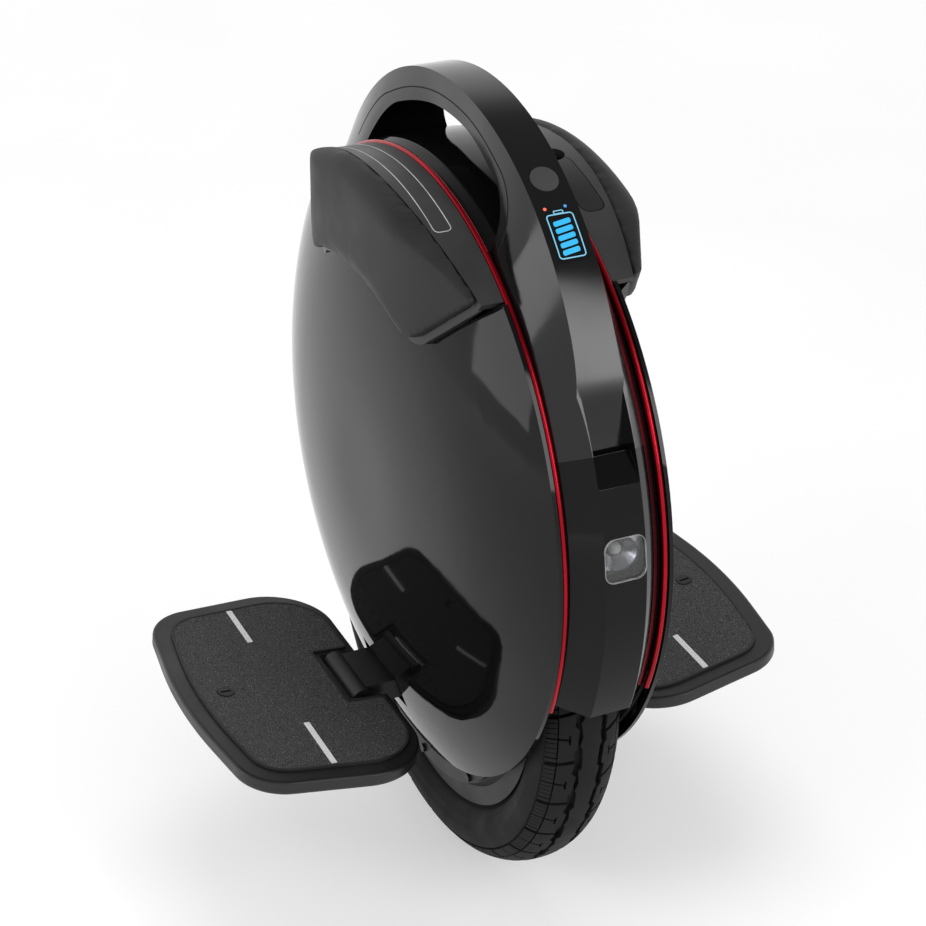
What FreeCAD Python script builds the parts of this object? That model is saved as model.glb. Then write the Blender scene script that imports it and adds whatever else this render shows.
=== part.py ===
"""Electric unicycle: a hub-motor wheel, a domed body, a carry arch and folding pedals.

Frame, in millimetres: +X forward, +Y the machine's left, +Z up, origin on the ground under the axle.
The right-hand copy of a side piece is the left-hand one turned half round about the Z axis.
"""
import FreeCAD, Part
import Sketcher
import math
import os

Vector = FreeCAD.Vector
Rotation = FreeCAD.Rotation
Placement = FreeCAD.Placement

doc = FreeCAD.newDocument("unicycle")
sheet = doc.addObject("Spreadsheet::Sheet", "dims")

X_AXIS = Vector(1, 0, 0)
Y_AXIS = Vector(0, 1, 0)
Z_AXIS = Vector(0, 0, 1)

DIMENSIONS = [
    # wheel
    ("tyre_radius", 206.0),
    ("tyre_half_width", 32.0),
    ("bead_radius", 152.5),
    ("flange_radius", 160.0),
    ("rim_half_width", 22.5),
    ("yoke_radius", 132.0),
    ("yoke_half_width", 28.0),
    ("tube_centre_radius", 175.5),
    ("tube_section_radius", 16.8),
    ("magnet_thickness", 4.0),
    ("motor_gap", 0.8),
    ("stack_half_width", 15.0),
    ("axle_end_radius", 10.0),
    ("axle_half_length", 70.0),
    ("bearing_outer_radius", 21.0),
    ("bearing_width", 12.0),
    ("running_clearance", 0.05),
    # body disc and spine
    ("body_z", 322.0),
    ("spine_side_radius", 226.0),
    ("spine_face_radius", 243.0),
    ("spine_inner_radius", 218.0),
    ("spine_half_width", 34.0),
    ("face_half_width", 14.7),
    ("panel_radius", 230.0),
    ("panel_crown", 82.5),
    ("panel_dome_radius", 640.0),
    ("panel_wall", 3.0),
    ("chassis_radius", 221.0),
    ("chassis_inner", 37.0),
    ("chassis_wall", 3.4),
    ("arch_radius", 211.0),
    ("trim_radius", 227.5),
    ("trim_offset", 36.3),
    ("trim_bead", 2.1),
    # carry arch
    ("arch_centre_x", 2.0),
    ("arch_centre_z", 398.5),
    ("handle_radius", 206.0),
    ("handle_seam_radius", 192.0),
    ("grip_radius", 183.0),
    ("button_radius", 9.6),
    ("display_length", 36.0),
    ("display_width", 22.0),
    # lamps
    ("headlight_z", 364.0),
    ("lamp_width", 30.2),
    ("lamp_height", 30.0),
    # leg pads
    ("pad_half_width", 87.5),
    ("pad_top_radius", 229.0),
    ("cover_radius", 228.0),
    ("pad_seam_offset", 70.5),
    # pedals
    ("hinge_y", 93.5),
    ("hinge_z", 148.0),
    ("pedal_tilt", 6.0),
    ("pedal_top", 5.0),
    ("pedal_thickness", 11.0),
    ("pedal_reach", 131.0),
    ("grip_sheet", 1.2),
    ("barrel_radius", 9.0),
    ("barrel_half_length", 28.0),
    ("pin_radius", 3.0),
    # trolley
    ("trolley_x", 65.0),
    ("trolley_y", 51.5),
    ("trolley_tube_radius", 9.0),
    ("trolley_length", 225.0),
]


class Size:
    """A length that knows its value and the spreadsheet expression that gives it."""

    def __init__(self, value, text):
        self.value = float(value)
        self.text = text

    def _join(self, sign, other, value):
        return Size(value, "(%s %s %s)" % (self.text, sign, as_size(other).text))

    def __add__(self, other):
        return self._join("+", other, self.value + as_size(other).value)

    def __sub__(self, other):
        return self._join("-", other, self.value - as_size(other).value)

    def __mul__(self, other):
        return self._join("*", other, self.value * as_size(other).value)

    def __truediv__(self, other):
        return self._join("/", other, self.value / as_size(other).value)

    def __neg__(self):
        return Size(-self.value, "(0 - %s)" % self.text)


def as_size(value):
    """Turn a plain number into a Size; leave a Size alone."""
    if isinstance(value, Size):
        return value
    return Size(value, "%.6g" % value if value >= 0 else "(0 - %.6g)" % -value)


class Dimensions:
    """The spreadsheet's cells as attributes."""


dim = Dimensions()
for row, (alias, number) in enumerate(DIMENSIONS, start=1):
    sheet.set("A%d" % row, alias)
    sheet.set("B%d" % row, str(number))
    sheet.setAlias("B%d" % row, alias)
    setattr(dim, alias, Size(number, "dims.%s" % alias))
doc.recompute()

pieces = {}


def keep(node, thing):
    """Give a finished object its node name and list it for export."""
    thing.Label = node
    pieces[node] = thing
    return thing


def bind(thing, name, value):
    """Bind one size of an object to the sheet."""
    size = as_size(value)
    setattr(thing, name, size.value)
    if "dims." in size.text:
        thing.setExpression(name, size.text)


def place(thing, x=0.0, y=0.0, z=0.0, turn=None):
    """Place an object, with the coordinates that come from the sheet bound to it."""
    sizes = [as_size(x), as_size(y), as_size(z)]
    thing.Placement = Placement(Vector(*[s.value for s in sizes]), turn or Rotation())
    for letter, size in zip("xyz", sizes):
        if "dims." in size.text:
            thing.setExpression("Placement.Base." + letter, size.text)
    return thing


def fresh(kind, name):
    return doc.addObject(kind, name)


def box(name, corner, lengths):
    thing = fresh("Part::Box", name)
    for field, length in zip(("Length", "Width", "Height"), lengths):
        bind(thing, field, length)
    return place(thing, *corner)


def rod(name, start, radius, length, axis):
    """A plain cylinder from a start point along a direction."""
    thing = fresh("Part::Cylinder", name)
    bind(thing, "Radius", radius)
    bind(thing, "Height", length)
    return place(thing, start[0], start[1], start[2], Rotation(Z_AXIS, axis))


def minus(name, base, *tools):
    """Base with every tool cut away."""
    thing = base
    for index, tool in enumerate(tools):
        step = fresh("Part::Cut", "%s_cut%d" % (name, index))
        step.Base = thing
        step.Tool = tool
        thing = step
    return thing


def union(name, *things):
    thing = fresh("Part::MultiFuse", name)
    thing.Shapes = list(things)
    return thing


def overlap(name, *things):
    thing = fresh("Part::MultiCommon", name)
    thing.Shapes = list(things)
    return thing


def group(name, *things):
    """Separate solids kept as one node."""
    thing = fresh("Part::Compound", name)
    thing.Links = list(things)
    return thing


def new_body(name):
    return fresh("PartDesign::Body", name)


def origin_plane(body, role):
    for feature in body.Origin.OriginFeatures:
        if feature.Role == role:
            return feature
    raise ValueError(role)


def outline_sketch(body, name, role, corners):
    """A closed outline on an origin plane.

    A corner is (x, y), or (x, y, radius) when the side that arrives there is an arc; a positive
    radius bulges to the right of the way travelled.
    """
    sketch = body.newObject("Sketcher::SketchObject", name)
    sketch.AttachmentSupport = [(origin_plane(body, role), "")]
    sketch.MapMode = "FlatFace"
    sizes = [(as_size(c[0]), as_size(c[1])) for c in corners]
    points = [Vector(x.value, y.value, 0) for x, y in sizes]
    count = len(points)
    starts = []
    for index in range(count):
        arriving = corners[(index + 1) % count]
        begin = points[index]
        end = points[(index + 1) % count]
        if len(arriving) == 2:
            sketch.addGeometry(Part.LineSegment(begin, end))
            starts.append(1)
            continue
        bend = as_size(arriving[2]).value
        radius = abs(bend)
        chord = end - begin
        to_left = Vector(-chord.y, chord.x, 0).normalize() * (1.0 if bend > 0 else -1.0)
        rise = math.sqrt(max(radius * radius - chord.Length ** 2 / 4.0, 0.0))
        centre = (begin + end) * 0.5 + to_left * rise
        first, last = (begin, end) if bend > 0 else (end, begin)
        angles = [math.atan2(p.y - centre.y, p.x - centre.x) for p in (first, last)]
        if angles[1] < angles[0]:
            angles[1] += 2 * math.pi
        circle = Part.Circle(centre, Z_AXIS, radius)
        sketch.addGeometry(Part.ArcOfCircle(circle, angles[0], angles[1]))
        starts.append(1 if bend > 0 else 2)
    for index in range(count):
        following = (index + 1) % count
        sketch.addConstraint(Sketcher.Constraint(
            "Coincident", index, 3 - starts[index], following, starts[following]))
    for index, (x, y) in enumerate(sizes):
        for kind, size, rule_axis in (("DistanceX", x, -2), ("DistanceY", y, -1)):
            if abs(size.value) < 1e-9:
                sketch.addConstraint(Sketcher.Constraint(
                    "PointOnObject", index, starts[index], rule_axis))
                continue
            at = sketch.addConstraint(Sketcher.Constraint(
                kind, -1, 1, index, starts[index], size.value))
            if "dims." in size.text:
                sketch.setExpression("Constraints[%d]" % at, size.text)
    for index in range(count):
        arriving = corners[(index + 1) % count]
        if len(arriving) == 3:
            size = as_size(arriving[2])
            at = sketch.addConstraint(Sketcher.Constraint("Radius", index, abs(size.value)))
            if "dims." in size.text and size.value > 0:
                sketch.setExpression("Constraints[%d]" % at, size.text)
    return sketch


def turned(name, corners, angle=360.0):
    """A body turned about its own Y axis from an outline of (radius, y) corners."""
    body = new_body(name)
    sketch = outline_sketch(body, name + "_outline", "XY_Plane", corners)
    feature = body.newObject("PartDesign::Revolution", name + "_turn")
    feature.Profile = sketch
    feature.ReferenceAxis = (sketch, ["V_Axis"])
    feature.Midplane = angle < 360.0
    feature.Angle = angle
    body.Tip = feature
    return body


def plate(name, corners, low, high):
    """A body with an outline of (x, z) corners, filled from y = low to y = high."""
    body = new_body(name)
    sketch = outline_sketch(body, name + "_outline", "XZ_Plane", corners)
    feature = body.newObject("PartDesign::Pad", name + "_pad")
    feature.Profile = sketch
    bind(feature, "Length", as_size(high) - low)
    body.Tip = feature
    place(body, 0, high, 0)
    return body


def slab(name, corners, low, high):
    """A body with an outline of (x, y) corners, filled from z = low to z = high."""
    body = new_body(name)
    sketch = outline_sketch(body, name + "_outline", "XY_Plane", corners)
    feature = body.newObject("PartDesign::Pad", name + "_pad")
    feature.Profile = sketch
    bind(feature, "Length", as_size(high) - low)
    body.Tip = feature
    place(body, 0, 0, low)
    return body


def about_axle(thing):
    return place(thing, 0, 0, dim.tyre_radius)


def about_body(thing, middle_angle=0.0):
    """Put a turned piece on the body's centre, its middle at an angle up from forward."""
    return place(thing, 0, 0, dim.body_z, Rotation(Vector(0, -1, 0), middle_angle))


def half_turn(thing):
    """Turn a left-hand piece half round about Z to make the right-hand one."""
    turn = Placement(Vector(0, 0, 0), Rotation(Z_AXIS, 180))
    moved = fresh("Part::Compound", thing.Name + "_right")
    moved.Links = [thing]
    moved.Placement = turn
    return moved


def rounded(corner_x, corner_y, radius, centre=(0.0, 0.0)):
    """Corners of a rounded rectangle about a centre, in the order that outline_sketch takes."""
    cx, cy = centre
    return [
        (cx + corner_x - radius, cy - corner_y),
        (cx + corner_x, cy - corner_y + radius, radius),
        (cx + corner_x, cy + corner_y - radius),
        (cx + corner_x - radius, cy + corner_y, radius),
        (cx - corner_x + radius, cy + corner_y),
        (cx - corner_x, cy + corner_y - radius, radius),
        (cx - corner_x, cy - corner_y + radius),
        (cx - corner_x + radius, cy - corner_y, radius),
    ]


def polar(radius, degrees, centre_z=0.0):
    """A point (x, z) at an angle up from forward about a centre on the Z axis."""
    angle = math.radians(degrees)
    return (radius * math.cos(angle), centre_z + radius * math.sin(angle))


# Wheel, about the axle

TREAD_SLOTS = 44


def make_tyre():
    """A carcass with two running grooves, and shoulder slots all round."""
    crown = dim.tyre_radius
    wide = dim.tyre_half_width
    carcass = turned("tyre_carcass", [
        (dim.bead_radius + 0.2, 14.0),
        (dim.bead_radius + 0.2, 20.0),
        (dim.bead_radius + 9.0, 20.0),
        (crown - 21.0, wide, -30.0),
        (crown - 9.0, wide - 6.5, -30.0),
        (crown - 2.6, 13.5, -60.0),
        (crown - 6.0, 12.5),
        (crown - 6.0, 10.5),
        (crown - 0.5, 9.5),
        (crown - 0.5, -9.5, -90.0),
        (crown - 6.0, -10.5),
        (crown - 6.0, -12.5),
        (crown - 2.6, -13.5),
        (crown - 9.0, -(wide - 6.5), -60.0),
        (crown - 21.0, -wide, -30.0),
        (dim.bead_radius + 9.0, -20.0, -30.0),
        (dim.bead_radius + 0.2, -20.0),
        (dim.bead_radius + 0.2, -14.0),
        (dim.bead_radius + 9.0, -13.5),
        (crown - 26.0, -(wide - 6.0), 34.0),
        (crown - 13.0, -14.0, 26.0),
        (crown - 13.0, 14.0),
        (crown - 26.0, wide - 6.0, 26.0),
        (dim.bead_radius + 9.0, 13.5, 34.0),
    ])
    slots = []
    for side in (-1, 1):
        for index in range(TREAD_SLOTS):
            step = 360.0 / TREAD_SLOTS
            angle = (index + (0.5 if side > 0 else 0.0)) * step
            cutter = fresh("Part::Box", "tread_slot")
            cutter.Length = 14.0
            cutter.Width = 16.0
            cutter.Height = 3.2
            turn = Rotation(Vector(0, -1, 0), angle)
            y = 13.0 if side > 0 else -29.0
            offset = turn.multVec(Vector(dim.tyre_radius.value - 9.0, y, -1.6))
            cutter.Placement = Placement(offset, turn)
            slots.append(cutter)
    return about_axle(minus("tyre", carcass, group("tread_slots", *slots)))


keep("tyre", make_tyre())

def tube_ring(name, section):
    """A ring of round section about the Y axis."""
    ring = fresh("Part::Torus", name)
    bind(ring, "Radius1", dim.tube_centre_radius)
    bind(ring, "Radius2", section)
    return place(ring, 0, 0, 0, Rotation(X_AXIS, 90))


keep("inner_tube", about_axle(minus(
    "inner_tube",
    tube_ring("tube_outside", dim.tube_section_radius),
    tube_ring("tube_inside", dim.tube_section_radius - 2.0),
)))

keep("rim", about_axle(turned("rim", [
    (dim.yoke_radius, -dim.yoke_half_width),
    (dim.yoke_radius, dim.yoke_half_width),
    (142.0, dim.yoke_half_width),
    (146.0, dim.rim_half_width),
    (dim.flange_radius, dim.rim_half_width),
    (dim.flange_radius, 20.3),
    (dim.bead_radius, 20.3),
    (dim.bead_radius, 10.8),
    (148.0, 8.0),
    (148.0, -8.0),
    (dim.bead_radius, -10.8),
    (dim.bead_radius, -20.3),
    (dim.flange_radius, -20.3),
    (dim.flange_radius, -dim.rim_half_width),
    (146.0, -dim.rim_half_width),
    (142.0, -dim.yoke_half_width),
])))

MAGNETS = 28


def make_magnets():
    """Flat magnets on the inside of the rim's yoke."""
    blocks = []
    for index in range(MAGNETS):
        magnet = fresh("Part::Box", "magnet")
        bind(magnet, "Length", dim.magnet_thickness)
        bind(magnet, "Width", dim.stack_half_width * 2)
        magnet.Height = 22.0
        turn = Rotation(Vector(0, -1, 0), 360.0 * index / MAGNETS)
        inner = dim.yoke_radius.value - dim.magnet_thickness.value - 0.95
        offset = turn.multVec(Vector(inner, -dim.stack_half_width.value, -11.0))
        magnet.Placement = Placement(offset, turn)
        blocks.append(magnet)
    return about_axle(group("magnet_ring", *blocks))


keep("magnet_ring", make_magnets())


def motor_cover(name):
    """A dished cover with the bearing seat, for the left side of the motor."""
    seat = dim.bearing_outer_radius
    return turned(name, [
        (15.0, 35.5),
        (15.0, 34.2),
        (seat, 34.2),
        (seat, 21.8),
        (seat + 6.0, 21.8),
        (seat + 12.0, 29.5),
        (100.0, 29.5),
        (120.0, dim.yoke_half_width + 0.2),
        (141.0, dim.yoke_half_width + 0.2),
        (141.0, 31.5),
        (122.0, 32.5),
        (100.0, 34.0),
        (34.0, 34.5),
        (30.0, 35.5),
    ])


keep("motor_cover_left", about_axle(motor_cover("motor_cover_left")))
right_cover = motor_cover("motor_cover_right")
keep("motor_cover_right", place(right_cover, 0, 0, dim.tyre_radius, Rotation(Z_AXIS, 180)))

COVER_SCREWS = 10


def cover_screws():
    """Button-head screws that hold both motor covers to the yoke."""
    screws = []
    for side in (-1, 1):
        for index in range(COVER_SCREWS):
            x, z = polar(136.5, 360.0 * (index + 0.5) / COVER_SCREWS)
            head = rod("cover_screw", (x, side * 31.95, z), 3.4, 2.0, Vector(0, side, 0))
            screws.append(head)
    return about_axle(group("motor_cover_screws", *screws))


keep("motor_cover_screws", cover_screws())


def bearing(name):
    return turned(name, [
        (dim.axle_end_radius + dim.running_clearance, 22.0),
        (dim.bearing_outer_radius, 22.0),
        (dim.bearing_outer_radius, dim.bearing_width + 22.0),
        (dim.axle_end_radius + dim.running_clearance, dim.bearing_width + 22.0),
    ])


keep("bearing_left", about_axle(bearing("bearing_left")))
keep("bearing_right", place(
    bearing("bearing_right"), 0, 0, dim.tyre_radius, Rotation(Z_AXIS, 180)))

valve_z = dim.tyre_radius - 147.0
keep("valve_stem", rod("valve_stem", (0, 26.6, valve_z), 3.85, 9.4, Y_AXIS))

# Axle and motor core, which stand still

keep("axle", about_axle(turned("axle", [
    (0.0, -dim.axle_half_length),
    (dim.axle_end_radius, -dim.axle_half_length),
    (dim.axle_end_radius, -21.5),
    (13.0, -21.5),
    (13.0, 21.5),
    (dim.axle_end_radius, 21.5),
    (dim.axle_end_radius, dim.axle_half_length),
    (0.0, dim.axle_half_length),
])))

STATOR_SLOTS = 36
stator_radius = dim.yoke_radius - dim.magnet_thickness - 0.95 - dim.motor_gap


def make_stator():
    """A slotted lamination ring on a four-arm carrier."""
    ring = turned("stator_ring", [
        (92.0, -dim.stack_half_width),
        (stator_radius, -dim.stack_half_width),
        (stator_radius, dim.stack_half_width),
        (92.0, dim.stack_half_width),
    ])
    slots = []
    for index in range(STATOR_SLOTS):
        slot = fresh("Part::Box", "stator_slot")
        slot.Length = 30.0
        slot.Width = 40.0
        slot.Height = 5.0
        turn = Rotation(Vector(0, -1, 0), 360.0 * index / STATOR_SLOTS)
        slot.Placement = Placement(turn.multVec(Vector(103.0, -20.0, -2.5)), turn)
        slots.append(slot)
    hub = turned("stator_hub", [(13.0, -12.0), (30.0, -12.0), (30.0, 12.0), (13.0, 12.0)])
    arms = []
    for index in range(4):
        arm = fresh("Part::Box", "stator_arm")
        arm.Length = 68.0
        arm.Width = 14.0
        arm.Height = 20.0
        turn = Rotation(Vector(0, -1, 0), 90.0 * index)
        arm.Placement = Placement(turn.multVec(Vector(27.0, -7.0, -10.0)), turn)
        arms.append(arm)
    slotted = minus("stator_slotted", ring, group("stator_slots", *slots))
    return about_axle(union("stator", slotted, hub, *arms))


keep("stator", make_stator())


def make_windings():
    """The end turns: one copper bundle on each side of every tooth."""
    bundles = []
    for side in (-1, 1):
        for index in range(STATOR_SLOTS // 2):
            bundle = fresh("Part::Box", "end_turn")
            bundle.Length = 15.0
            bundle.Width = 8.0
            bundle.Height = 13.0
            turn = Rotation(Vector(0, -1, 0), 720.0 * (index + 0.25) / STATOR_SLOTS)
            y = dim.stack_half_width.value + 0.1 if side > 0 else -dim.stack_half_width.value - 8.1
            bundle.Placement = Placement(turn.multVec(Vector(104.0, y, -6.5)), turn)
            bundles.append(bundle)
    return about_axle(group("stator_windings", *bundles))


keep("stator_windings", make_windings())


def axle_nut(name, side):
    """A hexagon nut outside the pedal hanger."""
    nut = fresh("Part::Prism", name)
    nut.Polygon = 6
    nut.Circumradius = 16.0
    nut.Height = 8.0
    place(nut, 0, side * 60.2, 0, Rotation(Z_AXIS, Vector(0, side, 0)))
    hole = rod(name + "_hole", (0, side * 58.0, 0), dim.axle_end_radius, 14.0, Vector(0, side, 0))
    return minus(name, nut, hole)


keep("axle_nuts", about_axle(group("axle_nuts", axle_nut("nut_left", 1), axle_nut("nut_right", -1))))

# Pedal hangers, hinge pins and pedals


def hanger(name):
    """A cast arm from the axle, down and out to the hinge barrel (left side)."""
    boss = rod(name + "_boss", (0, 46.0, dim.tyre_radius), 24.0, 14.0, Y_AXIS)
    arm = box(name + "_arm", (-24.0, 46.0, 139.0), (48.0, 14.0, dim.tyre_radius - 139.0))
    foot = box(name + "_foot", (-24.0, 50.0, dim.hinge_z - 8.0), (48.0, dim.hinge_y - 50.0, 16.0))
    barrel = rod(
        name + "_barrel", (-dim.barrel_half_length, dim.hinge_y, dim.hinge_z),
        dim.barrel_radius, dim.barrel_half_length * 2, X_AXIS)
    spacers = []
    for x in (-15.0, 15.0):
        for z in (165.0, 185.0):
            spacers.append(rod(
                name + "_spacer", (x, dim.chassis_inner + dim.chassis_wall, z), 6.0, 7.0, Y_AXIS))
    cast = union(name + "_cast", boss, arm, foot, barrel, *spacers)
    axle_hole = rod(name + "_axle_hole", (0, 40.0, dim.tyre_radius), dim.axle_end_radius, 30.0, Y_AXIS)
    pin_hole = rod(name + "_pin_hole", (-60.0, dim.hinge_y, dim.hinge_z), dim.pin_radius, 120.0, X_AXIS)
    return minus(name, cast, axle_hole, pin_hole)


keep("pedal_hanger_left", hanger("hanger_left"))
keep("pedal_hanger_right", half_turn(hanger("hanger_for_right")))


def hinge_pin(name):
    return rod(name, (-46.0, dim.hinge_y, dim.hinge_z), dim.pin_radius, 92.0, X_AXIS)


keep("pedal_pin_left", hinge_pin("pin_left"))
keep("pedal_pin_right", half_turn(hinge_pin("pin_for_right")))


def hanger_bolts():
    """Bolts that clamp each hanger to its chassis plate."""
    bolts = []
    for side in (-1, 1):
        for x in (-15.0, 15.0):
            for z in (165.0, 185.0):
                bolts.append(rod("hanger_bolt", (x, side * 60.0, z), 4.5, 4.0, Vector(0, side, 0)))
    return group("hanger_bolts", *bolts)


keep("hanger_bolts", hanger_bolts())


def soften(polygon):
    """Round the corners (x, y, radius) of a polygon drawn anticlockwise, with tangent arcs."""
    corners = []
    count = len(polygon)
    for index, (x, y, radius) in enumerate(polygon):
        here = Vector(x, y, 0)
        before = Vector(*polygon[index - 1][:2], 0) - here
        after = Vector(*polygon[(index + 1) % count][:2], 0) - here
        before.normalize()
        after.normalize()
        turn = math.pi - before.getAngle(after)
        cut = radius * math.tan(turn / 2.0)
        enter = here + before * cut
        leave = here + after * cut
        convex = (before.cross(after)).z < 0
        corners.append((enter.x, enter.y))
        corners.append((leave.x, leave.y, radius if convex else -radius))
    return corners


reach = dim.pedal_reach.value
PEDAL_OUTLINE = soften([
    (-131.0, -18.0, 48.0),
    (131.0, -18.0, 48.0),
    (116.0, reach - 13.0, 36.0),
    (0.0, reach + 3.0, 400.0),
    (-116.0, reach - 13.0, 36.0),
])


def on_hinge(thing, side):
    """Put a piece drawn flat about the hinge on its side, tilted up outward."""
    tilt = Rotation(X_AXIS, dim.pedal_tilt.value)
    turn = tilt if side > 0 else Rotation(Z_AXIS, 180).multiply(tilt)
    return place(thing, 0, dim.hinge_y * side, dim.hinge_z, turn)


def pedal_plate(name, side):
    """A plate with a notch for the barrel and a bore through both ears."""
    blank = slab(name + "_blank", PEDAL_OUTLINE, dim.pedal_top - dim.pedal_thickness, dim.pedal_top)
    edges = []
    doc.recompute()
    for index, edge in enumerate(blank.Shape.Edges, start=1):
        low, high = edge.BoundBox.ZMin, edge.BoundBox.ZMax
        if high - low < 0.01:
            edges.append((index, 2.4, 2.4) if low > 0 else (index, 3.0, 3.0))
    soft = fresh("Part::Fillet", name + "_soft")
    soft.Base = blank
    soft.Edges = edges
    notch = box(name + "_notch", (-31.0, -20.0, -20.0), (62.0, 32.0, 40.0))
    bore = rod(name + "_bore", (-47.0, 0, 0), dim.pin_radius + dim.running_clearance, 94.0, X_AXIS)
    recess = box(name + "_under", (-70.0, 24.0, -20.0), (140.0, 66.0, 15.5))
    return on_hinge(minus(name, soft, notch, bore, recess), side)


SHEET_OUTLINE = soften([
    (-115.0, -11.0, 38.0),
    (-36.0, -11.0, 3.0),
    (-36.0, 17.0, 3.0),
    (36.0, 17.0, 3.0),
    (36.0, -11.0, 3.0),
    (115.0, -11.0, 38.0),
    (102.5, 105.0, 26.0),
    (0.0, 121.0, 400.0),
    (-102.5, 105.0, 26.0),
])

MAGNET_REACH = 97.0


def grip_sheet(name, side):
    """The gritty sheet on top, with a hole round the magnet."""
    layer = slab(name + "_layer", SHEET_OUTLINE, dim.pedal_top, dim.pedal_top + dim.grip_sheet)
    hole = rod(name + "_hole", (0, MAGNET_REACH, 0), 6.4, 20.0, Z_AXIS)
    return on_hinge(minus(name, layer, hole), side)


def pedal_magnet(name, side):
    """The round catch that holds the folded pedal to the side panel."""
    disc = rod(name + "_disc", (0, MAGNET_REACH, dim.pedal_top), 6.0, 1.8, Z_AXIS)
    slot = box(name + "_slot", (-1.0, MAGNET_REACH - 4.0, dim.pedal_top + 1.0), (2.0, 8.0, 3.0))
    return on_hinge(minus(name, disc, slot), side)


for side_name, side_sign in (("left", 1), ("right", -1)):
    keep("pedal_plate_" + side_name, pedal_plate("pedal_" + side_name, side_sign))
    keep("pedal_grip_sheet_" + side_name, grip_sheet("sheet_" + side_name, side_sign))
    keep("pedal_magnet_" + side_name, pedal_magnet("magnet_" + side_name, side_sign))

# Spine, saddle and carry arch

FASCIA_LOW = -20.0
FASCIA_HIGH = 26.5
CHANNEL_HALF = 14.9


def spine_outline(inner, side, face):
    """The spine's cross-section, as (radius, y) corners."""
    half = dim.spine_half_width
    flat = dim.face_half_width
    return [(inner, -half), (side, -half), (face, -flat), (face, flat), (side, half), (inner, half)]


def fascia(name, middle_sign):
    """One lower end of the spine: hollow behind, with a scoop at its upper end."""
    sweep = FASCIA_HIGH - FASCIA_LOW
    middle = (FASCIA_HIGH + FASCIA_LOW) / 2.0
    solid = turned(name + "_solid", spine_outline(
        dim.spine_inner_radius, dim.spine_side_radius, dim.spine_face_radius), sweep)
    about_body(solid, middle)
    hollow = turned(name + "_hollow", [
        (dim.spine_inner_radius - 4.0, -30.0),
        (dim.spine_side_radius - 2.0, -30.0),
        (dim.spine_face_radius - 4.0, -12.7),
        (dim.spine_face_radius - 4.0, 12.7),
        (dim.spine_side_radius - 2.0, 30.0),
        (dim.spine_inner_radius - 4.0, 30.0),
    ], 34.0)
    about_body(hollow, -1.0)
    z = dim.body_z.value
    scoop = plate(name + "_scoop", [
        polar(262.0, 20.5, z),
        polar(262.0, 28.0, z),
        polar(235.5, 28.0, z),
        polar(235.3, 26.4, z),
        polar(243.2, 21.3, z),
    ], -CHANNEL_HALF, CHANNEL_HALF)
    made = minus(name, solid, hollow, scoop)
    if middle_sign < 0:
        made.Placement = Placement(Vector(0, 0, 0), Rotation(Z_AXIS, 180))
    return made


def lamp_window(name, z, sign, grow=0.0):
    """A rounded square through one fascia, to cut or to fill."""
    half_width = dim.lamp_width.value / 2.0 + grow
    half_height = dim.lamp_height.value / 2.0 + grow
    body = new_body(name)
    sketch = outline_sketch(body, name + "_outline", "YZ_Plane", rounded(
        half_width, half_height, 7.0 + grow))
    feature = body.newObject("PartDesign::Pad", name + "_pad")
    feature.Profile = sketch
    feature.Length = 60.0
    body.Tip = feature
    turn = Rotation() if sign > 0 else Rotation(Z_AXIS, 180)
    return place(body, sign * 205.0, 0, z, turn)


PORT_RADIUS = 8.0
port_hole = rod("port_hole", (-200.0, 0, dim.body_z), 12.0, 60.0, -X_AXIS)
CAP_RECESS = 14.6
port_seat = rod("port_seat", (-239.2, 0, dim.body_z), CAP_RECESS, 20.0, -X_AXIS)
TAIL_Z = 376.0

keep("front_fascia", minus("front_fascia_open", fascia("front", 1),
                           lamp_window("headlight_hole", dim.headlight_z, 1, 0.2)))
keep("rear_fascia", minus("rear_fascia_open", fascia("rear", -1),
                          lamp_window("tail_hole", TAIL_Z, -1, 0.2), port_hole, port_seat))

SADDLE_RISE = 4.5
SADDLE_CROWN = 26.0
SADDLE_FOOT = 31.5


def saddle(name):
    """The crowned top of the spine, under the carry arch."""
    sweep = 180.0 - 2 * FASCIA_HIGH
    top = dim.spine_side_radius + SADDLE_RISE
    return about_body(turned(name, [
        (dim.spine_inner_radius, -dim.spine_half_width),
        (dim.spine_side_radius, -dim.spine_half_width),
        (dim.spine_side_radius, -SADDLE_FOOT),
        (top, -SADDLE_CROWN),
        (top, SADDLE_CROWN),
        (dim.spine_side_radius, SADDLE_FOOT),
        (dim.spine_side_radius, dim.spine_half_width),
        (dim.spine_inner_radius, dim.spine_half_width),
    ], sweep), 90.0)


keep("saddle", saddle("saddle"))

OPENING_FRONT = 108.0
OPENING_REAR = -128.0
REAR_FILL = 13.0


def opening(name, inset, arc_radius, half_width, rear_inset=0.0):
    """The hand opening under the arch, as a block with rounded upper corners."""
    front = OPENING_FRONT - inset
    rear = OPENING_REAR + inset + rear_inset
    x = dim.arch_centre_x.value
    z = dim.arch_centre_z.value
    front_top = front - 30.0
    rear_top = rear + 34.0
    arc = arc_radius.value
    return plate(name, [
        (rear, 488.0),
        (front, 488.0),
        (front, 536.0 - inset),
        (front_top, z + math.sqrt(arc * arc - (front_top - x) ** 2), 46.0 - inset),
        (rear_top, z + math.sqrt(arc * arc - (rear_top - x) ** 2), arc_radius),
        (rear, 522.0 - inset, 60.0 - inset),
    ], -half_width, half_width)


def arch_body(name, radius):
    """A round block about the arch's centre."""
    return rod(name, (dim.arch_centre_x, -60.0, dim.arch_centre_z), radius, 120.0, Y_AXIS)


FLARE_STEPS = (0.0, 6.0, 12.0, 18.0, 24.0, 30.0, 36.0, 42.0, 47.0, 52.0, 56.0, 60.0, 63.5)


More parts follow.
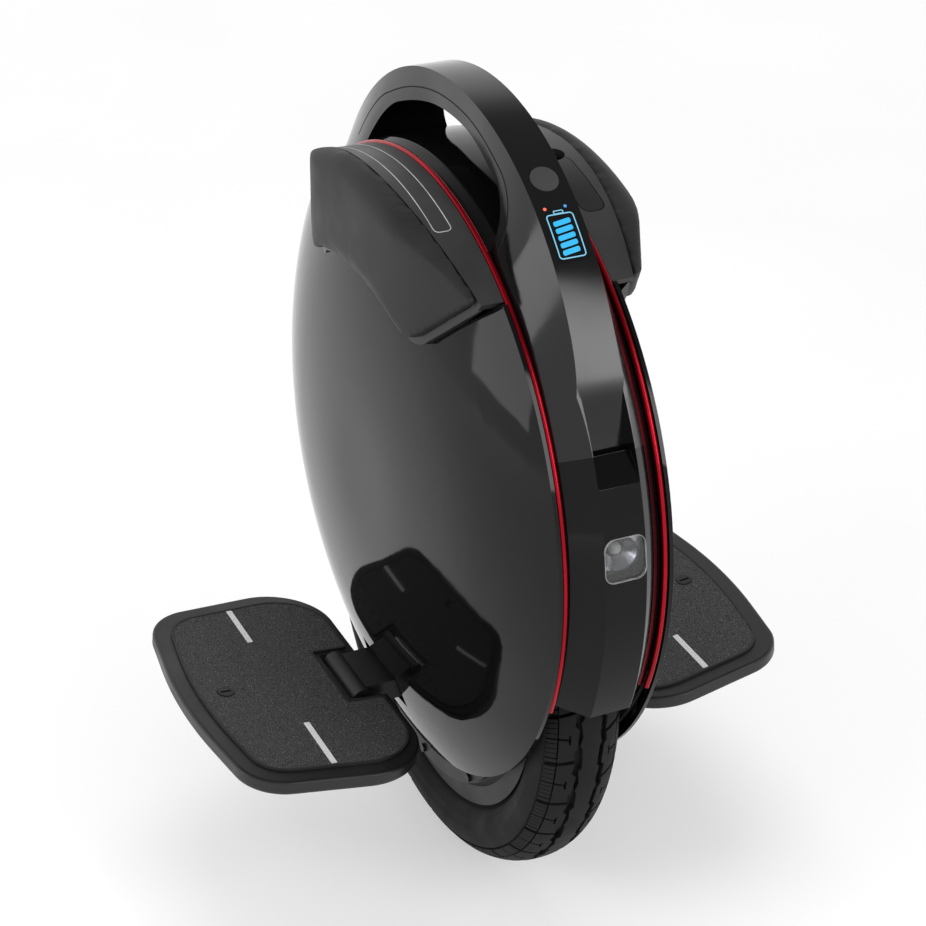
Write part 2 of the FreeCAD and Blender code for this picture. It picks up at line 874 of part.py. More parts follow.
def arch_reach(angle):
    """How far the arch's outer face is from the body's centre at an angle up from forward."""
    x = dim.arch_centre_x.value
    z = dim.arch_centre_z.value - dim.body_z.value
    turn = math.radians(angle)
    along = x * math.cos(turn) + z * math.sin(turn)
    return along + math.sqrt(dim.handle_radius.value ** 2 - x * x - z * z + along * along)


def flare_section(angle):
    """The leg's cross-section at an angle: wide at the trim, narrow at the strip's edge."""
    face = dim.spine_face_radius.value
    low = dim.spine_side_radius.value
    blend = 4.0
    high = face + blend * math.log1p(math.exp((arch_reach(angle) - face) / blend))
    narrow = dim.face_half_width.value + 0.3
    spread = dim.spine_half_width.value - narrow
    fade = min(1.0, max(0.08, (abs(angle - 90.0) - 4.0) / 24.0))
    slope = spread * fade / (high - low)
    over = 2.0
    corners = []
    for radius, y in ((low - over, -1), (high + over, -1), (high + over, 1), (low - over, 1)):
        half = narrow + slope * (high - radius)
        x, z = polar(radius, angle, dim.body_z.value)
        corners.append(Vector(x, y * half, z))
    section = fresh("Part::Polygon", "flare_section")
    section.Nodes = corners
    section.Close = True
    return section


def leg_flare(name):
    """Both legs and the bar, swept through its sections from the front trim to the rear."""
    angles = [90.0 - step for step in reversed(FLARE_STEPS)] + [90.0 + step for step in FLARE_STEPS[1:]]
    sweep = fresh("Part::Loft", name)
    sweep.Sections = [flare_section(angle) for angle in angles]
    sweep.Solid = True
    sweep.Ruled = False
    return sweep


def handle_cover():
    """The outer cover: a strip over the arch whose legs flare down to the trim."""
    flare = leg_flare("handle_flare")
    disc = rod("handle_flank", (0, -60.0, dim.body_z), dim.spine_face_radius, 120.0, Y_AXIS)
    side_view = union("handle_side_view", disc, arch_body("handle_outside", dim.handle_radius))
    blank = overlap("handle_blank", flare, side_view)
    channels = union(
        "handle_channels",
        box("channel_front", (150.0, -CHANNEL_HALF, 400.0), (110.0, CHANNEL_HALF * 2, 95.0)),
        box("channel_rear", (-260.0, -CHANNEL_HALF, 400.0), (110.0, CHANNEL_HALF * 2, 95.0)))
    strips = minus("handle_strip_tool", channels, arch_body("handle_outside_again", dim.handle_radius))
    hole = opening("handle_opening", 0.0, dim.handle_seam_radius, 60.0)
    below = rod("handle_below", (0, -60.0, dim.body_z), dim.spine_side_radius, 120.0, Y_AXIS)
    return minus("handle_cover", blank, strips, hole, below, saddle("handle_saddle_space"))


BUTTON_ANGLE = 58.6
DISPLAY_ANGLE = 47.0


def on_arch(thing, angle, depth=0.0):
    """Stand a piece drawn along +Z on the arch's outer face, its x axis along the arch."""
    radius = dim.handle_radius.value - depth
    x, z = polar(radius, angle, dim.arch_centre_z.value)
    x += dim.arch_centre_x.value
    return place(thing, x, 0, z, Rotation(Vector(0, -1, 0), angle - 90.0))


def rounded_block(name, half_x, half_y, corner, low, high):
    return slab(name, rounded(half_x, half_y, corner), low, high)


def button_pocket():
    return on_arch(rod("button_pocket", (0, 0, 0), dim.button_radius + 0.35, 20.0, Z_AXIS),
                   BUTTON_ANGLE, 7.0)


def display_pocket():
    half_x = dim.display_length.value / 2.0
    half_y = dim.display_width.value / 2.0
    return on_arch(rounded_block("display_pocket", half_x, half_y, 4.0, 0.0, 12.0),
                   DISPLAY_ANGLE, 4.0)


keep("handle_cover", minus("handle_cover_open", handle_cover(), button_pocket(), display_pocket()))


def handle_grip():
    """The inner grip, with a rounded underside and a pocket for the lift switch."""
    outside = overlap("grip_blank", leg_flare("grip_flare"),
                      opening("grip_outside", 0.0, dim.handle_seam_radius, 60.0))
    inside = opening("grip_inside", 9.0, dim.grip_radius, 60.0, REAR_FILL)
    below = rod("grip_below", (0, -60.0, dim.body_z), dim.spine_side_radius, 120.0, Y_AXIS)
    pocket = slab("switch_pocket", rounded(15.3, 6.3, 3.3, (-8.0, 0.0)), 560.0, 586.6)
    return minus("handle_grip", outside, inside, below, pocket, saddle("grip_saddle_space"))


keep("handle_grip", handle_grip())
keep("lift_switch", slab("lift_switch", rounded(15.0, 6.0, 3.0, (-8.0, 0.0)), 579.0, 584.3))


def power_button():
    """A round button that stands a little proud of the strip."""
    disc = rod("button_disc", (0, 0, 0), dim.button_radius, 5.6, Z_AXIS)
    return on_arch(disc, BUTTON_ANGLE, 5.2)


keep("power_button", power_button())


def display_panel():
    half_x = dim.display_length.value / 2.0
    half_y = dim.display_width.value / 2.0
    block = on_arch(rounded_block("display_block", half_x, half_y, 4.0, 0.0, 12.0), DISPLAY_ANGLE, 4.0)
    return overlap("display_panel", block, arch_body("display_outside", dim.handle_radius))


keep("display_panel", display_panel())

# Lamps


def lamp_lens(name, z, sign):
    """The outer 3 mm of the lamp window, curved with the fascia."""
    window = lamp_window(name + "_window", z, sign)
    shell = turned(name + "_shell", [
        (dim.spine_face_radius - 3.4, -24.0),
        (dim.spine_face_radius - 0.2, -24.0),
        (dim.spine_face_radius - 0.2, 24.0),
        (dim.spine_face_radius - 3.4, 24.0),
    ], 60.0)
    about_body(shell, 10.0 if sign > 0 else 170.0)
    return overlap(name, window, shell)


keep("headlight_lens", lamp_lens("headlight_lens", dim.headlight_z, 1))
keep("tail_light_lens", lamp_lens("tail_light_lens", TAIL_Z, -1))


def reflector():
    """A square cup with a round bowl in front."""
    outside = box("reflector_outside", (219.0, -14.0, dim.headlight_z - 14.0), (11.5, 28.0, 28.0))
    bowl = fresh("Part::Cone", "reflector_bowl")
    bowl.Radius1 = 4.0
    bowl.Radius2 = 13.0
    bowl.Height = 11.0
    place(bowl, 220.6, 0, dim.headlight_z, Rotation(Z_AXIS, X_AXIS))
    return minus("headlight_reflector", outside, bowl)


keep("headlight_reflector", reflector())
keep("headlight_board", box("headlight_board", (216.8, -12.0, dim.headlight_z - 12.0), (2.0, 24.0, 24.0)))

# Charge port at the back


def charge_port():
    """A round socket with a floor."""
    sleeve = rod("port_sleeve", (-215.0, 0, dim.body_z), 12.0, 24.0, -X_AXIS)
    bore = rod("port_bore", (-225.0, 0, dim.body_z), PORT_RADIUS, 20.0, -X_AXIS)
    return minus("charge_port", sleeve, bore)


keep("charge_port", charge_port())


def charge_cap():
    """A flush rubber cap that swings down about its lower edge."""
    disc = rod("cap_disc", (-239.6, 0, dim.body_z), CAP_RECESS - 0.4, 3.0, -X_AXIS)
    return disc


keep("charge_port_cap", charge_cap())

# Trim and side panels


def trim(name, side):
    """A red bead along the edge of the spine."""
    bead = fresh("Part::Torus", name)
    bind(bead, "Radius1", dim.trim_radius)
    bind(bead, "Radius2", dim.trim_bead)
    bead.Angle3 = 222.0
    turn = Rotation(Vector(0, -1, 0), -21.0).multiply(Rotation(X_AXIS, 90))
    return place(bead, 0, dim.trim_offset * side, dim.body_z, turn)


keep("trim_left", trim("trim_left", 1))
keep("trim_right", trim("trim_right", -1))

LOBE = (88.0, 147.0)
LIP_END = (140.0, 194.0)
ARCH_RISE = 158.0


def pad_outline(grow):
    """The pad's side view, as (x, z) corners; grow widens it past its lower edge."""
    z = dim.body_z.value
    lobe_x, lobe_z = LOBE
    end_x, end_z = LIP_END
    low = z + lobe_z - grow
    return [
        (-end_x - grow, z + 290.0),
        (-end_x - grow, z + end_z - grow * 0.5),
        (-lobe_x - grow * 0.6, low),
        (-lobe_x + 22.0, low + 2.0, 16.0),
        (0.0, z + ARCH_RISE - grow, -190.0),
        (lobe_x - 22.0, low + 2.0, -190.0),
        (lobe_x + grow * 0.6, low, 16.0),
        (end_x + grow, z + end_z - grow * 0.5),
        (end_x + grow, z + 290.0),
    ]


LIP = 4.5
FACE_HALF = 50.0
FACE_ARC = 110.0
END_SLOPE = 25.0
PAD_END = 150.0


def pad_face(shift):
    """The pad's outer face in plan, as (x, y) corners from rear to front."""
    y = dim.pad_half_width.value - shift
    slope = math.radians(END_SLOPE)
    bend_x = FACE_HALF + FACE_ARC * math.sin(slope)
    bend_y = y - FACE_ARC * (1.0 - math.cos(slope))
    end_y = bend_y - (PAD_END - bend_x) * math.tan(slope)
    return [
        (PAD_END, end_y),
        (bend_x, bend_y),
        (FACE_HALF, y, FACE_ARC),
        (-FACE_HALF, y),
        (-bend_x, bend_y, FACE_ARC),
        (-PAD_END, end_y),
    ]


SEAM_RADIUS = 577.0


def seam_half_width(shift=0.0):
    """Everything inside the seam between a pad and its cover, in plan."""
    y = dim.pad_seam_offset.value - shift
    drop = SEAM_RADIUS - math.sqrt(SEAM_RADIUS ** 2 - PAD_END ** 2)
    return [(-PAD_END, 0.0), (PAD_END, 0.0), (PAD_END, y - drop), (-PAD_END, y - drop, SEAM_RADIUS)]


def plan_block(name, corners):
    return slab(name, corners, 420.0, 600.0)


def pad_block(name, shift):
    """Everything inside the pad's outer face, in plan."""
    return plan_block(name, [(-PAD_END, 0.0), (PAD_END, 0.0)] + pad_face(shift))


def crown(name, radius, soft):
    """A round block about the body's centre with a rounded outer edge."""
    y = dim.pad_half_width + 0.5
    body = turned(name, [
        (0.0, 30.0),
        (radius, 30.0),
        (radius, y - soft),
        (radius - soft, y, soft),
        (0.0, y),
    ])
    return about_body(body)


def leg_pad(name):
    """The soft pad: between the seam and its crowned outer face."""
    side_view = plate(name + "_side", pad_outline(0.0), 30.0, 110.0)
    face = pad_block(name + "_face", 0.0)
    soft = crown(name + "_crown", dim.pad_top_radius, 16.0)
    inside = plan_block(name + "_inside", seam_half_width())
    return minus(name, overlap(name + "_blank", side_view, face, soft), inside)


SLOT_FRONT = 84.0
SLOT_REAR = 25.0
SLOT_HALF = 8.5


def slot_outline(grow):
    """The trolley grip in plan: a long rounded tongue."""
    middle = (SLOT_FRONT + SLOT_REAR) / 2.0
    half = (SLOT_FRONT - SLOT_REAR) / 2.0
    return rounded(half + grow, SLOT_HALF + grow, 6.0 + grow, (middle, dim.trolley_y.value))


def trolley_block(name, grow, low, high):
    return slab(name, slot_outline(grow), low, high)


COVER_EDGE = 38.7


def pad_cover(name, with_slot):
    """The carrier of a pad: a top band, a backing plate and a lip round the pad's lower edge."""
    band_ring = turned(name + "_ring", [
        (dim.cover_radius - 6.0, COVER_EDGE),
        (dim.cover_radius, COVER_EDGE),
        (dim.cover_radius, 90.0),
        (dim.cover_radius - 6.0, 90.0),
    ], 72.0)
    about_body(band_ring, 90.0)
    band = overlap(name + "_band", band_ring, plan_block(name + "_band_plan", seam_half_width()))
    side_view = plate(name + "_side", pad_outline(LIP), 30.0, 110.0)
    round_top = rod(name + "_round", (0, 30.0, dim.body_z), dim.cover_radius - 6.0, 80.0, Y_AXIS)
    face = pad_block(name + "_face", 7.0)
    inside = plan_block(name + "_inside", seam_half_width(3.5))
    back = minus(name + "_back", overlap(name + "_slab", side_view, round_top, face), inside)
    whole = union(name + "_whole", band, back)
    cuts = [leg_pad(name + "_pad_space")]
    if with_slot:
        cuts.append(trolley_block(name + "_slot", 0.6, 440.0, 600.0))
        cuts.append(rod(name + "_finger", (19.0, dim.trolley_y, 500.0), 9.0, 80.0, Z_AXIS))
    return minus(name, whole, *cuts)


PANEL_FLAT = 36.0


def sag(radius, reach):
    """How far a dome of a given radius has dropped at a distance from its axis."""
    return radius.value - math.sqrt(radius.value ** 2 - reach ** 2)


def side_panel(name):
    """A domed panel, open behind the pad and where the hanger comes through."""
    wall = dim.panel_wall
    rim_y = 41.5
    outside = dim.panel_dome_radius
    inside = outside - wall
    bend = 130.0
    outside_y = dim.panel_crown - sag(outside, bend - PANEL_FLAT)
    inside_y = dim.panel_crown - wall - sag(inside, bend - PANEL_FLAT)
    dome = about_body(turned(name + "_dome", [
        (0.0, dim.panel_crown),
        (0.0, COVER_EDGE),
        (dim.panel_radius, COVER_EDGE),
        (dim.panel_radius, rim_y),
        (bend, outside_y, 294.0),
        (PANEL_FLAT, dim.panel_crown, outside),
    ]))
    space = about_body(turned(name + "_space", [
        (0.0, dim.panel_crown - wall),
        (0.0, 35.5),
        (dim.panel_radius - 3.6, 35.5),
        (dim.panel_radius - 3.6, 40.0),
        (bend, inside_y, 289.0),
        (PANEL_FLAT, dim.panel_crown - wall, inside),
    ]))
    behind_pad = plate(name + "_pad_space", pad_outline(LIP + 0.4), 30.0, 110.0)
    slot = box(name + "_slot", (-32.0, 40.0, dim.hinge_z - 13.0), (64.0, 60.0, 26.0))
    return minus(name, dome, space, behind_pad, slot)


keep("side_panel_left", side_panel("panel_left"))
keep("side_panel_right", half_turn(side_panel("panel_for_right")))
keep("leg_pad_left", leg_pad("pad_left"))
keep("leg_pad_right", half_turn(leg_pad("pad_for_right")))
keep("pad_cover_left", pad_cover("cover_left", True))
keep("pad_cover_right", half_turn(pad_cover("cover_for_right", False)))

# Trolley: a grip on two telescoping tubes that pull straight up

tube_top = 508.0
tube_low_end = 508.0 - dim.trolley_length.value


def tube(name, radius, wall, low, high):
    outside = rod(name + "_outside", (dim.trolley_x, dim.trolley_y, low), radius, high - low, Z_AXIS)
    if wall is None:
        return outside
    inside = rod(name + "_inside", (dim.trolley_x, dim.trolley_y, low - 1.0),
                 radius - wall, high - low + 2.0, Z_AXIS)
    return minus(name, outside, inside)


keep("trolley_outer_tube", tube("trolley_outer", dim.trolley_tube_radius, 1.2, tube_low_end, tube_top))
keep("trolley_mid_tube", tube("trolley_mid", dim.trolley_tube_radius - 1.25, 1.2, tube_low_end + 2.0, tube_top))
keep("trolley_rod", tube("trolley_rod", dim.trolley_tube_radius - 2.5, None, tube_low_end + 4.0, tube_top + 1.0))


def trolley_grip():
    """The grip: a tongue flush with the cover, on a short neck over the tubes."""
    tongue = overlap(
        "grip_tongue",
        trolley_block("grip_tongue_plan", 0.0, 440.0, 600.0),
        rod("grip_tongue_round", (0, 30.0, dim.body_z), dim.cover_radius, 80.0, Y_AXIS),
    )
    flat = trolley_block("grip_tongue_below", 2.0, 400.0, 509.0)
    finger = rod("grip_finger", (19.0, dim.trolley_y, 530.0), 9.0, 80.0, Z_AXIS)
    return minus("trolley_grip", tongue, flat, finger)


keep("trolley_grip", trolley_grip())

# Chassis and what it carries


def chassis(name):
    """A plate beside the wheel, open round the axle."""
    inner = dim.chassis_inner
    disc = rod(name + "_disc", (0, inner, dim.body_z), dim.chassis_radius, dim.chassis_wall, Y_AXIS)
    hole = rod(name + "_hole", (0, 30.0, dim.tyre_radius), 26.0, 20.0, Y_AXIS)
    bottom = box(name + "_bottom", (-240.0, 20.0, 0.0), (480.0, 40.0, 104.0))
    lead = rod(name + "_lead", (-96.0, 30.0, 470.0), 9.0, 20.0, Y_AXIS)
    return minus(name, disc, hole, bottom, lead)


keep("chassis_left", chassis("chassis_left"))
keep("chassis_right", half_turn(chassis("chassis_for_right")))

keep("wheel_arch", place(turned("wheel_arch", [
    (dim.arch_radius, -36.4),
    (dim.arch_radius + 3.0, -36.4),
    (dim.arch_radius + 3.0, 36.4),
    (dim.arch_radius, 36.4),
], 148.0), 0, 0, dim.tyre_radius, Rotation(Vector(0, -1, 0), 90.0)))


def battery(name):
    """A pack of cells behind the trolley tubes (left side)."""
    return plate(name, [
        (46.0, 300.0),
        (46.0, 446.0),
        (-56.0, 446.0),
        (-128.0, 398.0),
        (-146.0, 334.0),
        (-120.0, 300.0),
    ], 43.5, 64.0)


keep("battery_pack_left", battery("battery_left"))
keep("battery_pack_right", half_turn(battery("battery_for_right")))


def control_board():
    """The driver board and its row of capacitor cans."""
    board = box("board", (-70.0, -30.0, 446.0), (140.0, 60.0, 1.8))
    cans = [rod("can", (54.0, -18.0 + 18.0 * i, 447.8), 7.0, 22.0, Z_AXIS) for i in range(3)]
    return group("control_board", board, *cans)


keep("control_board", control_board())


def heat_sink():
    """A base with fins, on top of the board."""
    base = box("sink_base", (-60.0, -28.0, 450.0), (100.0, 56.0, 4.0))
    fins = [box("sink_fin", (-60.0, -28.0 + 7.8 * i, 454.0), (100.0, 1.6, 14.0)) for i in range(8)]
    return union("heat_sink", base, *fins)


keep("heat_sink", heat_sink())
keep("speaker", minus(
    "speaker",
    rod("speaker_frame", (-105.0, 0, 446.0), 20.0, 9.0, Z_AXIS),
    rod("speaker_cone", (-105.0, 0, 449.0), 15.0, 20.0, Z_AXIS),
))


def motor_cable():
    """The phase leads: from the axle's end, up inside the left panel, through the chassis."""
    route = [
        Vector(0, 66.0, 232.5),
        Vector(-40.0, 64.0, 262.0),
        Vector(-120.0, 56.0, 288.0),
        Vector(-164.0, 50.0, 340.0),
        Vector(-150.0, 50.0, 420.0),
        Vector(-112.0, 48.0, 466.0),
        Vector(-96.0, 38.0, 470.0),
        Vector(-84.0, 22.0, 462.0),
        Vector(-76.0, 14.0, 449.2),
    ]
    curve = Part.BSplineCurve()
    curve.interpolate(route)
    spine = Part.Wire([curve.toShape()])
    first, last = curve.FirstParameter, curve.LastParameter
    way = curve.tangent(first)[0]
    ring = Part.Wire([Part.makeCircle(2.8, curve.value(first), way)])
    thing = fresh("Part::Feature", "motor_cable")
    thing.Shape = spine.makePipeShell([ring], True, True)
    return thing


keep("motor_cable", motor_cable())

# Check and write

doc.recompute()
bad = []
for thing in doc.Objects:
    if "Invalid" in thing.State or "Error" in thing.State:
        bad.append("%s %s" % (thing.Label, thing.State))
for node, thing in pieces.items():
    shape = thing.Shape
    if shape.isNull() or not shape.isValid() or not shape.Solids:
        bad.append("%s has no sound shape" % node)
if bad:
    raise RuntimeError("; ".join(bad))

os.makedirs("parts", exist_ok=True)
for old in os.listdir("parts"):
    if old.endswith(".step") and old[:-5] not in pieces:
        os.remove(os.path.join("parts", old))
for node, thing in pieces.items():
    thing.Shape.exportStep("parts/%s.step" % node)
print("%d pieces written" % len(pieces))
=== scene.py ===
"""Looks of the electric unicycle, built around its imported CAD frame. Metres, +X forward, +Z up."""

import math

import bmesh
import bpy
import numpy as np
from mathutils import Matrix, Vector
from mathutils.bvhtree import BVHTree


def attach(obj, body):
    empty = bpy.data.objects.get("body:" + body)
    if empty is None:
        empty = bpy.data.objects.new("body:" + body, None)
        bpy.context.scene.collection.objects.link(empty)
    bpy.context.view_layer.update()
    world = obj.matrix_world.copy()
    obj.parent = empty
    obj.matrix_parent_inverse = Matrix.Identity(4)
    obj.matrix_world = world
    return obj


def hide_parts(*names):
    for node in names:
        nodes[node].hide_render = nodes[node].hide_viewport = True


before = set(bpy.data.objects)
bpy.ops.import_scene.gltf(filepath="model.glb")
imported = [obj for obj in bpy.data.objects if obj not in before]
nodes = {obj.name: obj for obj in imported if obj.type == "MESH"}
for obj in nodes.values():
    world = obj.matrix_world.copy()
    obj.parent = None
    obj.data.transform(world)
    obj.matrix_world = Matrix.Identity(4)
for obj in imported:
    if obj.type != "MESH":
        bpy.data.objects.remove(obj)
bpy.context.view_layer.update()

MM = 0.001
SCENE = bpy.context.scene

# Sizes shared with the CAD part, in millimetres

AXLE_Z = 206.0
TYRE_RADIUS = 206.0
BODY_Z = 322.0
HINGE_Y = 93.5
HINGE_Z = 148.0
PEDAL_TILT = math.radians(6.0)
PEDAL_TOP = 5.0
SHEET_TOP = 6.2
ARCH_X = 2.0
ARCH_Z = 398.5
ARCH_RADIUS = 206.0
DISPLAY_ANGLE = math.radians(47.0)
COVER_RADIUS = 228.0
FACE_RADIUS = 243.0
LAMP_Z = 364.0

# Crease angle of smooth shading, in degrees, and how far a print reaches into and above its surface

CREASE = 35.0
PRINT_LOW = -0.1
PRINT_HIGH = 0.12


# Materials


class Shade:
    """A material on one Principled shader, with helpers for its procedural detail."""

    def __init__(self, name, base, roughness, **sockets):
        self.material = bpy.data.materials.new(name)
        self.material.use_nodes = True
        self.tree = self.material.node_tree
        self.shader = self.tree.nodes["Principled BSDF"]
        self.set("Base Color", (*base, 1.0))
        self.set("Roughness", roughness)
        for socket, value in sockets.items():
            self.set(socket.replace("_", " "), value)
        self.coords = self.tree.nodes.new("ShaderNodeTexCoord").outputs["Object"]
        self.normal = None

    def set(self, socket, value):
        """Give a socket of the shader a constant value."""
        self.shader.inputs[socket].default_value = value

    def link(self, output, target):
        self.tree.links.new(output, target)

    def drive(self, socket, output):
        """Let an output drive a socket of the shader."""
        self.link(output, self.shader.inputs[socket])

    def stretched(self, x, y, z):
        """The object coordinates, scaled along each axis."""
        node = self.tree.nodes.new("ShaderNodeMapping")
        node.inputs["Scale"].default_value = (x, y, z)
        self.link(self.coords, node.inputs["Vector"])
        return node.outputs["Vector"]

    def noise(self, scale, detail=2.0, coords=None):
        """Cloudy noise from 0 to 1."""
        node = self.tree.nodes.new("ShaderNodeTexNoise")
        node.inputs["Scale"].default_value = scale
        node.inputs["Detail"].default_value = detail
        self.link(coords or self.coords, node.inputs["Vector"])
        return node.outputs["Fac"]

    def cells(self, scale, feature="F1"):
        """Distance to the middle of the nearest of many small cells."""
        node = self.tree.nodes.new("ShaderNodeTexVoronoi")
        node.feature = feature
        node.inputs["Scale"].default_value = scale
        self.link(self.coords, node.inputs["Vector"])
        return node.outputs["Distance"]

    def spread(self, value, low, high, start=0.3, end=0.7):
        """A value mapped onto low to high."""
        node = self.tree.nodes.new("ShaderNodeMapRange")
        for socket, number in (("From Min", start), ("From Max", end), ("To Min", low), ("To Max", high)):
            node.inputs[socket].default_value = number
        self.link(value, node.inputs["Value"])
        return node.outputs["Result"]

    def ramp(self, value, *stops):
        """A value turned into colours, from (place, colour) stops."""
        node = self.tree.nodes.new("ShaderNodeValToRGB")
        elements = node.color_ramp.elements
        while len(elements) < len(stops):
            elements.new(0.5)
        for element, (place, colour) in zip(elements, stops):
            element.position = place
            element.color = (*colour, 1.0)
        self.link(value, node.inputs["Fac"])
        return node.outputs["Color"]

    def bump(self, height, strength, depth_mm):
        """One more layer of relief on top of those before it."""
        node = self.tree.nodes.new("ShaderNodeBump")
        node.inputs["Strength"].default_value = strength
        node.inputs["Distance"].default_value = depth_mm * MM
        self.link(height, node.inputs["Height"])
        if self.normal is not None:
            self.link(self.normal, node.inputs["Normal"])
        self.normal = node.outputs["Normal"]
        self.drive("Normal", self.normal)


def tint(grey):
    """A neutral colour."""
    return (grey, grey, grey)


def gloss_black(name, sheen, rough):
    """Polished black shell, with a trace of moulding waviness and handling haze."""
    shade = Shade(name, (0.004, 0.004, 0.0043), rough, Specular_IOR_Level=sheen)
    haze = shade.noise(14.0, 3.0)
    shade.drive("Roughness", shade.spread(haze, rough * 0.6, rough * 1.4))
    shade.bump(shade.noise(40.0, 1.0), 0.006, 0.4)
    return shade.material


def satin_black(name, base, rough):
    """Moulded plastic with a fine spark-eroded grain."""
    shade = Shade(name, base, rough, Specular_IOR_Level=0.4)
    patch = shade.noise(30.0, 3.0)
    shade.drive("Roughness", shade.spread(patch, rough - 0.05, rough + 0.06))
    shade.drive("Base Color", shade.ramp(
        patch, (0.3, tuple(c * 0.85 for c in base)), (0.7, tuple(c * 1.15 for c in base))))
    shade.bump(shade.noise(900.0, 2.0), 0.18, 0.12)
    return shade.material


def pad_skin():
    """Soft moulded foam skin with a leathery pebble."""
    shade = Shade("pad_skin", tint(0.02), 0.55, Specular_IOR_Level=0.28)
    mottle = shade.noise(38.0, 4.0)
    shade.drive("Base Color", shade.ramp(
        mottle, (0.3, (0.0155, 0.0155, 0.0165)), (0.7, (0.0235, 0.0235, 0.025))))
    shade.drive("Roughness", shade.spread(mottle, 0.48, 0.62))
    shade.bump(shade.cells(820.0, "SMOOTH_F1"), 0.3, 0.16)
    shade.bump(shade.noise(1900.0, 2.0), 0.15, 0.06)
    return shade.material


def red_anodised():
    """Bright red anodised bead."""
    shade = Shade("trim_red", (0.38, 0.003, 0.013), 0.22, Metallic=0.85)
    shade.drive("Roughness", shade.spread(shade.noise(120.0, 2.0), 0.16, 0.28))
    shade.drive("Base Color", shade.ramp(
        shade.noise(22.0, 2.0), (0.3, (0.31, 0.003, 0.011)), (0.7, (0.43, 0.005, 0.017))))
    shade.bump(shade.noise(1500.0, 1.0), 0.05, 0.05)
    return shade.material


def brushed(name, base, rough, streaks_along):
    """Machined or brushed metal, with streaks that are finer along the axes with a larger scale."""
    shade = Shade(name, base, rough, Metallic=1.0)
    streaks = shade.noise(420.0, 3.0, shade.stretched(*streaks_along))
    shade.drive("Roughness", shade.spread(streaks, rough - 0.08, rough + 0.1))
    shade.drive("Base Color", shade.ramp(
        shade.noise(25.0, 3.0), (0.3, tuple(c * 0.88 for c in base)), (0.7, base)))
    shade.bump(streaks, 0.12, 0.06)
    return shade.material


def powder_coat():
    """Black powder coat with a fine texture, a little worn."""
    shade = Shade("black_metal", tint(0.014), 0.42, Specular_IOR_Level=0.45)
    patch = shade.noise(26.0, 4.0)
    shade.drive("Roughness", shade.spread(patch, 0.34, 0.5))
    shade.drive("Base Color", shade.ramp(patch, (0.3, tint(0.008)), (0.7, tint(0.013))))
    shade.bump(shade.cells(1400.0), 0.2, 0.1)
    return shade.material


def grit():
    """Sandpaper sheet: dark grey with bright mineral specks."""
    shade = Shade("grit_sheet", tint(0.05), 0.85, Specular_IOR_Level=0.35)
    specks = shade.noise(1150.0, 3.0)
    shade.drive("Base Color", shade.ramp(
        specks, (0.36, tint(0.022)), (0.52, tint(0.05)), (0.64, tint(0.085)), (0.74, tint(0.24))))
    shade.drive("Roughness", shade.spread(specks, 0.92, 0.62))
    shade.bump(shade.cells(1300.0), 0.7, 0.35)
    return shade.material


def tyre_rubber():
    """Matt tyre compound with a dusty bloom."""
    shade = Shade("tyre_rubber", tint(0.01), 0.72, Specular_IOR_Level=0.18)
    bloom = shade.noise(45.0, 5.0)
    shade.drive("Base Color", shade.ramp(
        bloom, (0.3, (0.0065, 0.0065, 0.007)), (0.7, (0.0125, 0.0125, 0.013))))
    shade.drive("Roughness", shade.spread(bloom, 0.6, 0.8))
    shade.bump(shade.noise(1100.0, 3.0), 0.2, 0.12)
    return shade.material


def plain_rubber(name, base, rough):
    """Rubber, ink or dull paint under a thin uneven film; the seam's near-black copy is painted shade."""
    shade = Shade(name, base, rough)
    film = shade.noise(90.0, 4.0)
    shade.drive("Base Color", shade.ramp(
        film, (0.3, tuple(c * 0.8 for c in base)), (0.7, tuple(c * 1.2 for c in base))))
    shade.drive("Roughness", shade.spread(film, rough - 0.06, rough + 0.06))
    shade.bump(shade.noise(800.0, 2.0), 0.12, 0.08)
    return shade.material


def clear_lens():
    """Clear moulded lens with faint flow lines."""
    shade = Shade("lens_clear", (0.96, 0.97, 1.0), 0.03, Transmission_Weight=1.0, IOR=1.45)
    shade.bump(shade.noise(70.0, 1.0), 0.04, 0.3)
    return shade.material


def red_lens():
    """Red lens with a prism pattern moulded in."""
    shade = Shade("lens_red", (0.4, 0.004, 0.008), 0.1, Specular_IOR_Level=0.5, Coat_Weight=0.4)
    prisms = shade.cells(420.0)
    shade.drive("Base Color", shade.ramp(
        prisms, (0.1, (0.5, 0.008, 0.012)), (0.7, (0.22, 0.002, 0.004))))
    shade.bump(prisms, 0.5, 0.4)
    return shade.material


def mirror_bowl():
    """Smoked metallised reflector with a slight ripple."""
    shade = Shade("mirror_bowl", (0.3, 0.3, 0.31), 0.22, Metallic=1.0)
    shade.drive("Roughness", shade.spread(shade.noise(160.0, 2.0), 0.16, 0.3))
    shade.bump(shade.noise(240.0, 2.0), 0.15, 0.3)
    return shade.material


def screen():
    """Smoked window over the display."""
    shade = Shade("screen", (0.003, 0.0032, 0.004), 0.07, Specular_IOR_Level=0.4)
    shade.drive("Roughness", shade.spread(shade.noise(60.0, 2.0), 0.05, 0.1))
    shade.bump(shade.noise(90.0, 1.0), 0.02, 0.2)
    return shade.material


def glow(name, colour, strength):
    """A lit segment, a little uneven as lit segments are."""
    shade = Shade(name, colour, 0.4)
    shade.set("Emission Strength", strength)
    shade.drive("Emission Color", shade.ramp(
        shade.noise(300.0, 2.0), (0.3, tuple(c * 0.9 for c in colour)), (0.7, colour)))
    return shade.material


def white_paint():
    """Screen-printed white on the grit, broken by the grains."""
    shade = Shade("white_paint", tint(0.75), 0.75)
    specks = shade.noise(1300.0, 3.0)
    shade.drive("Base Color", shade.ramp(
        specks, (0.3, tint(0.4)), (0.42, tint(0.68)), (0.6, tint(0.8))))
    shade.bump(specks, 0.4, 0.2)
    return shade.material


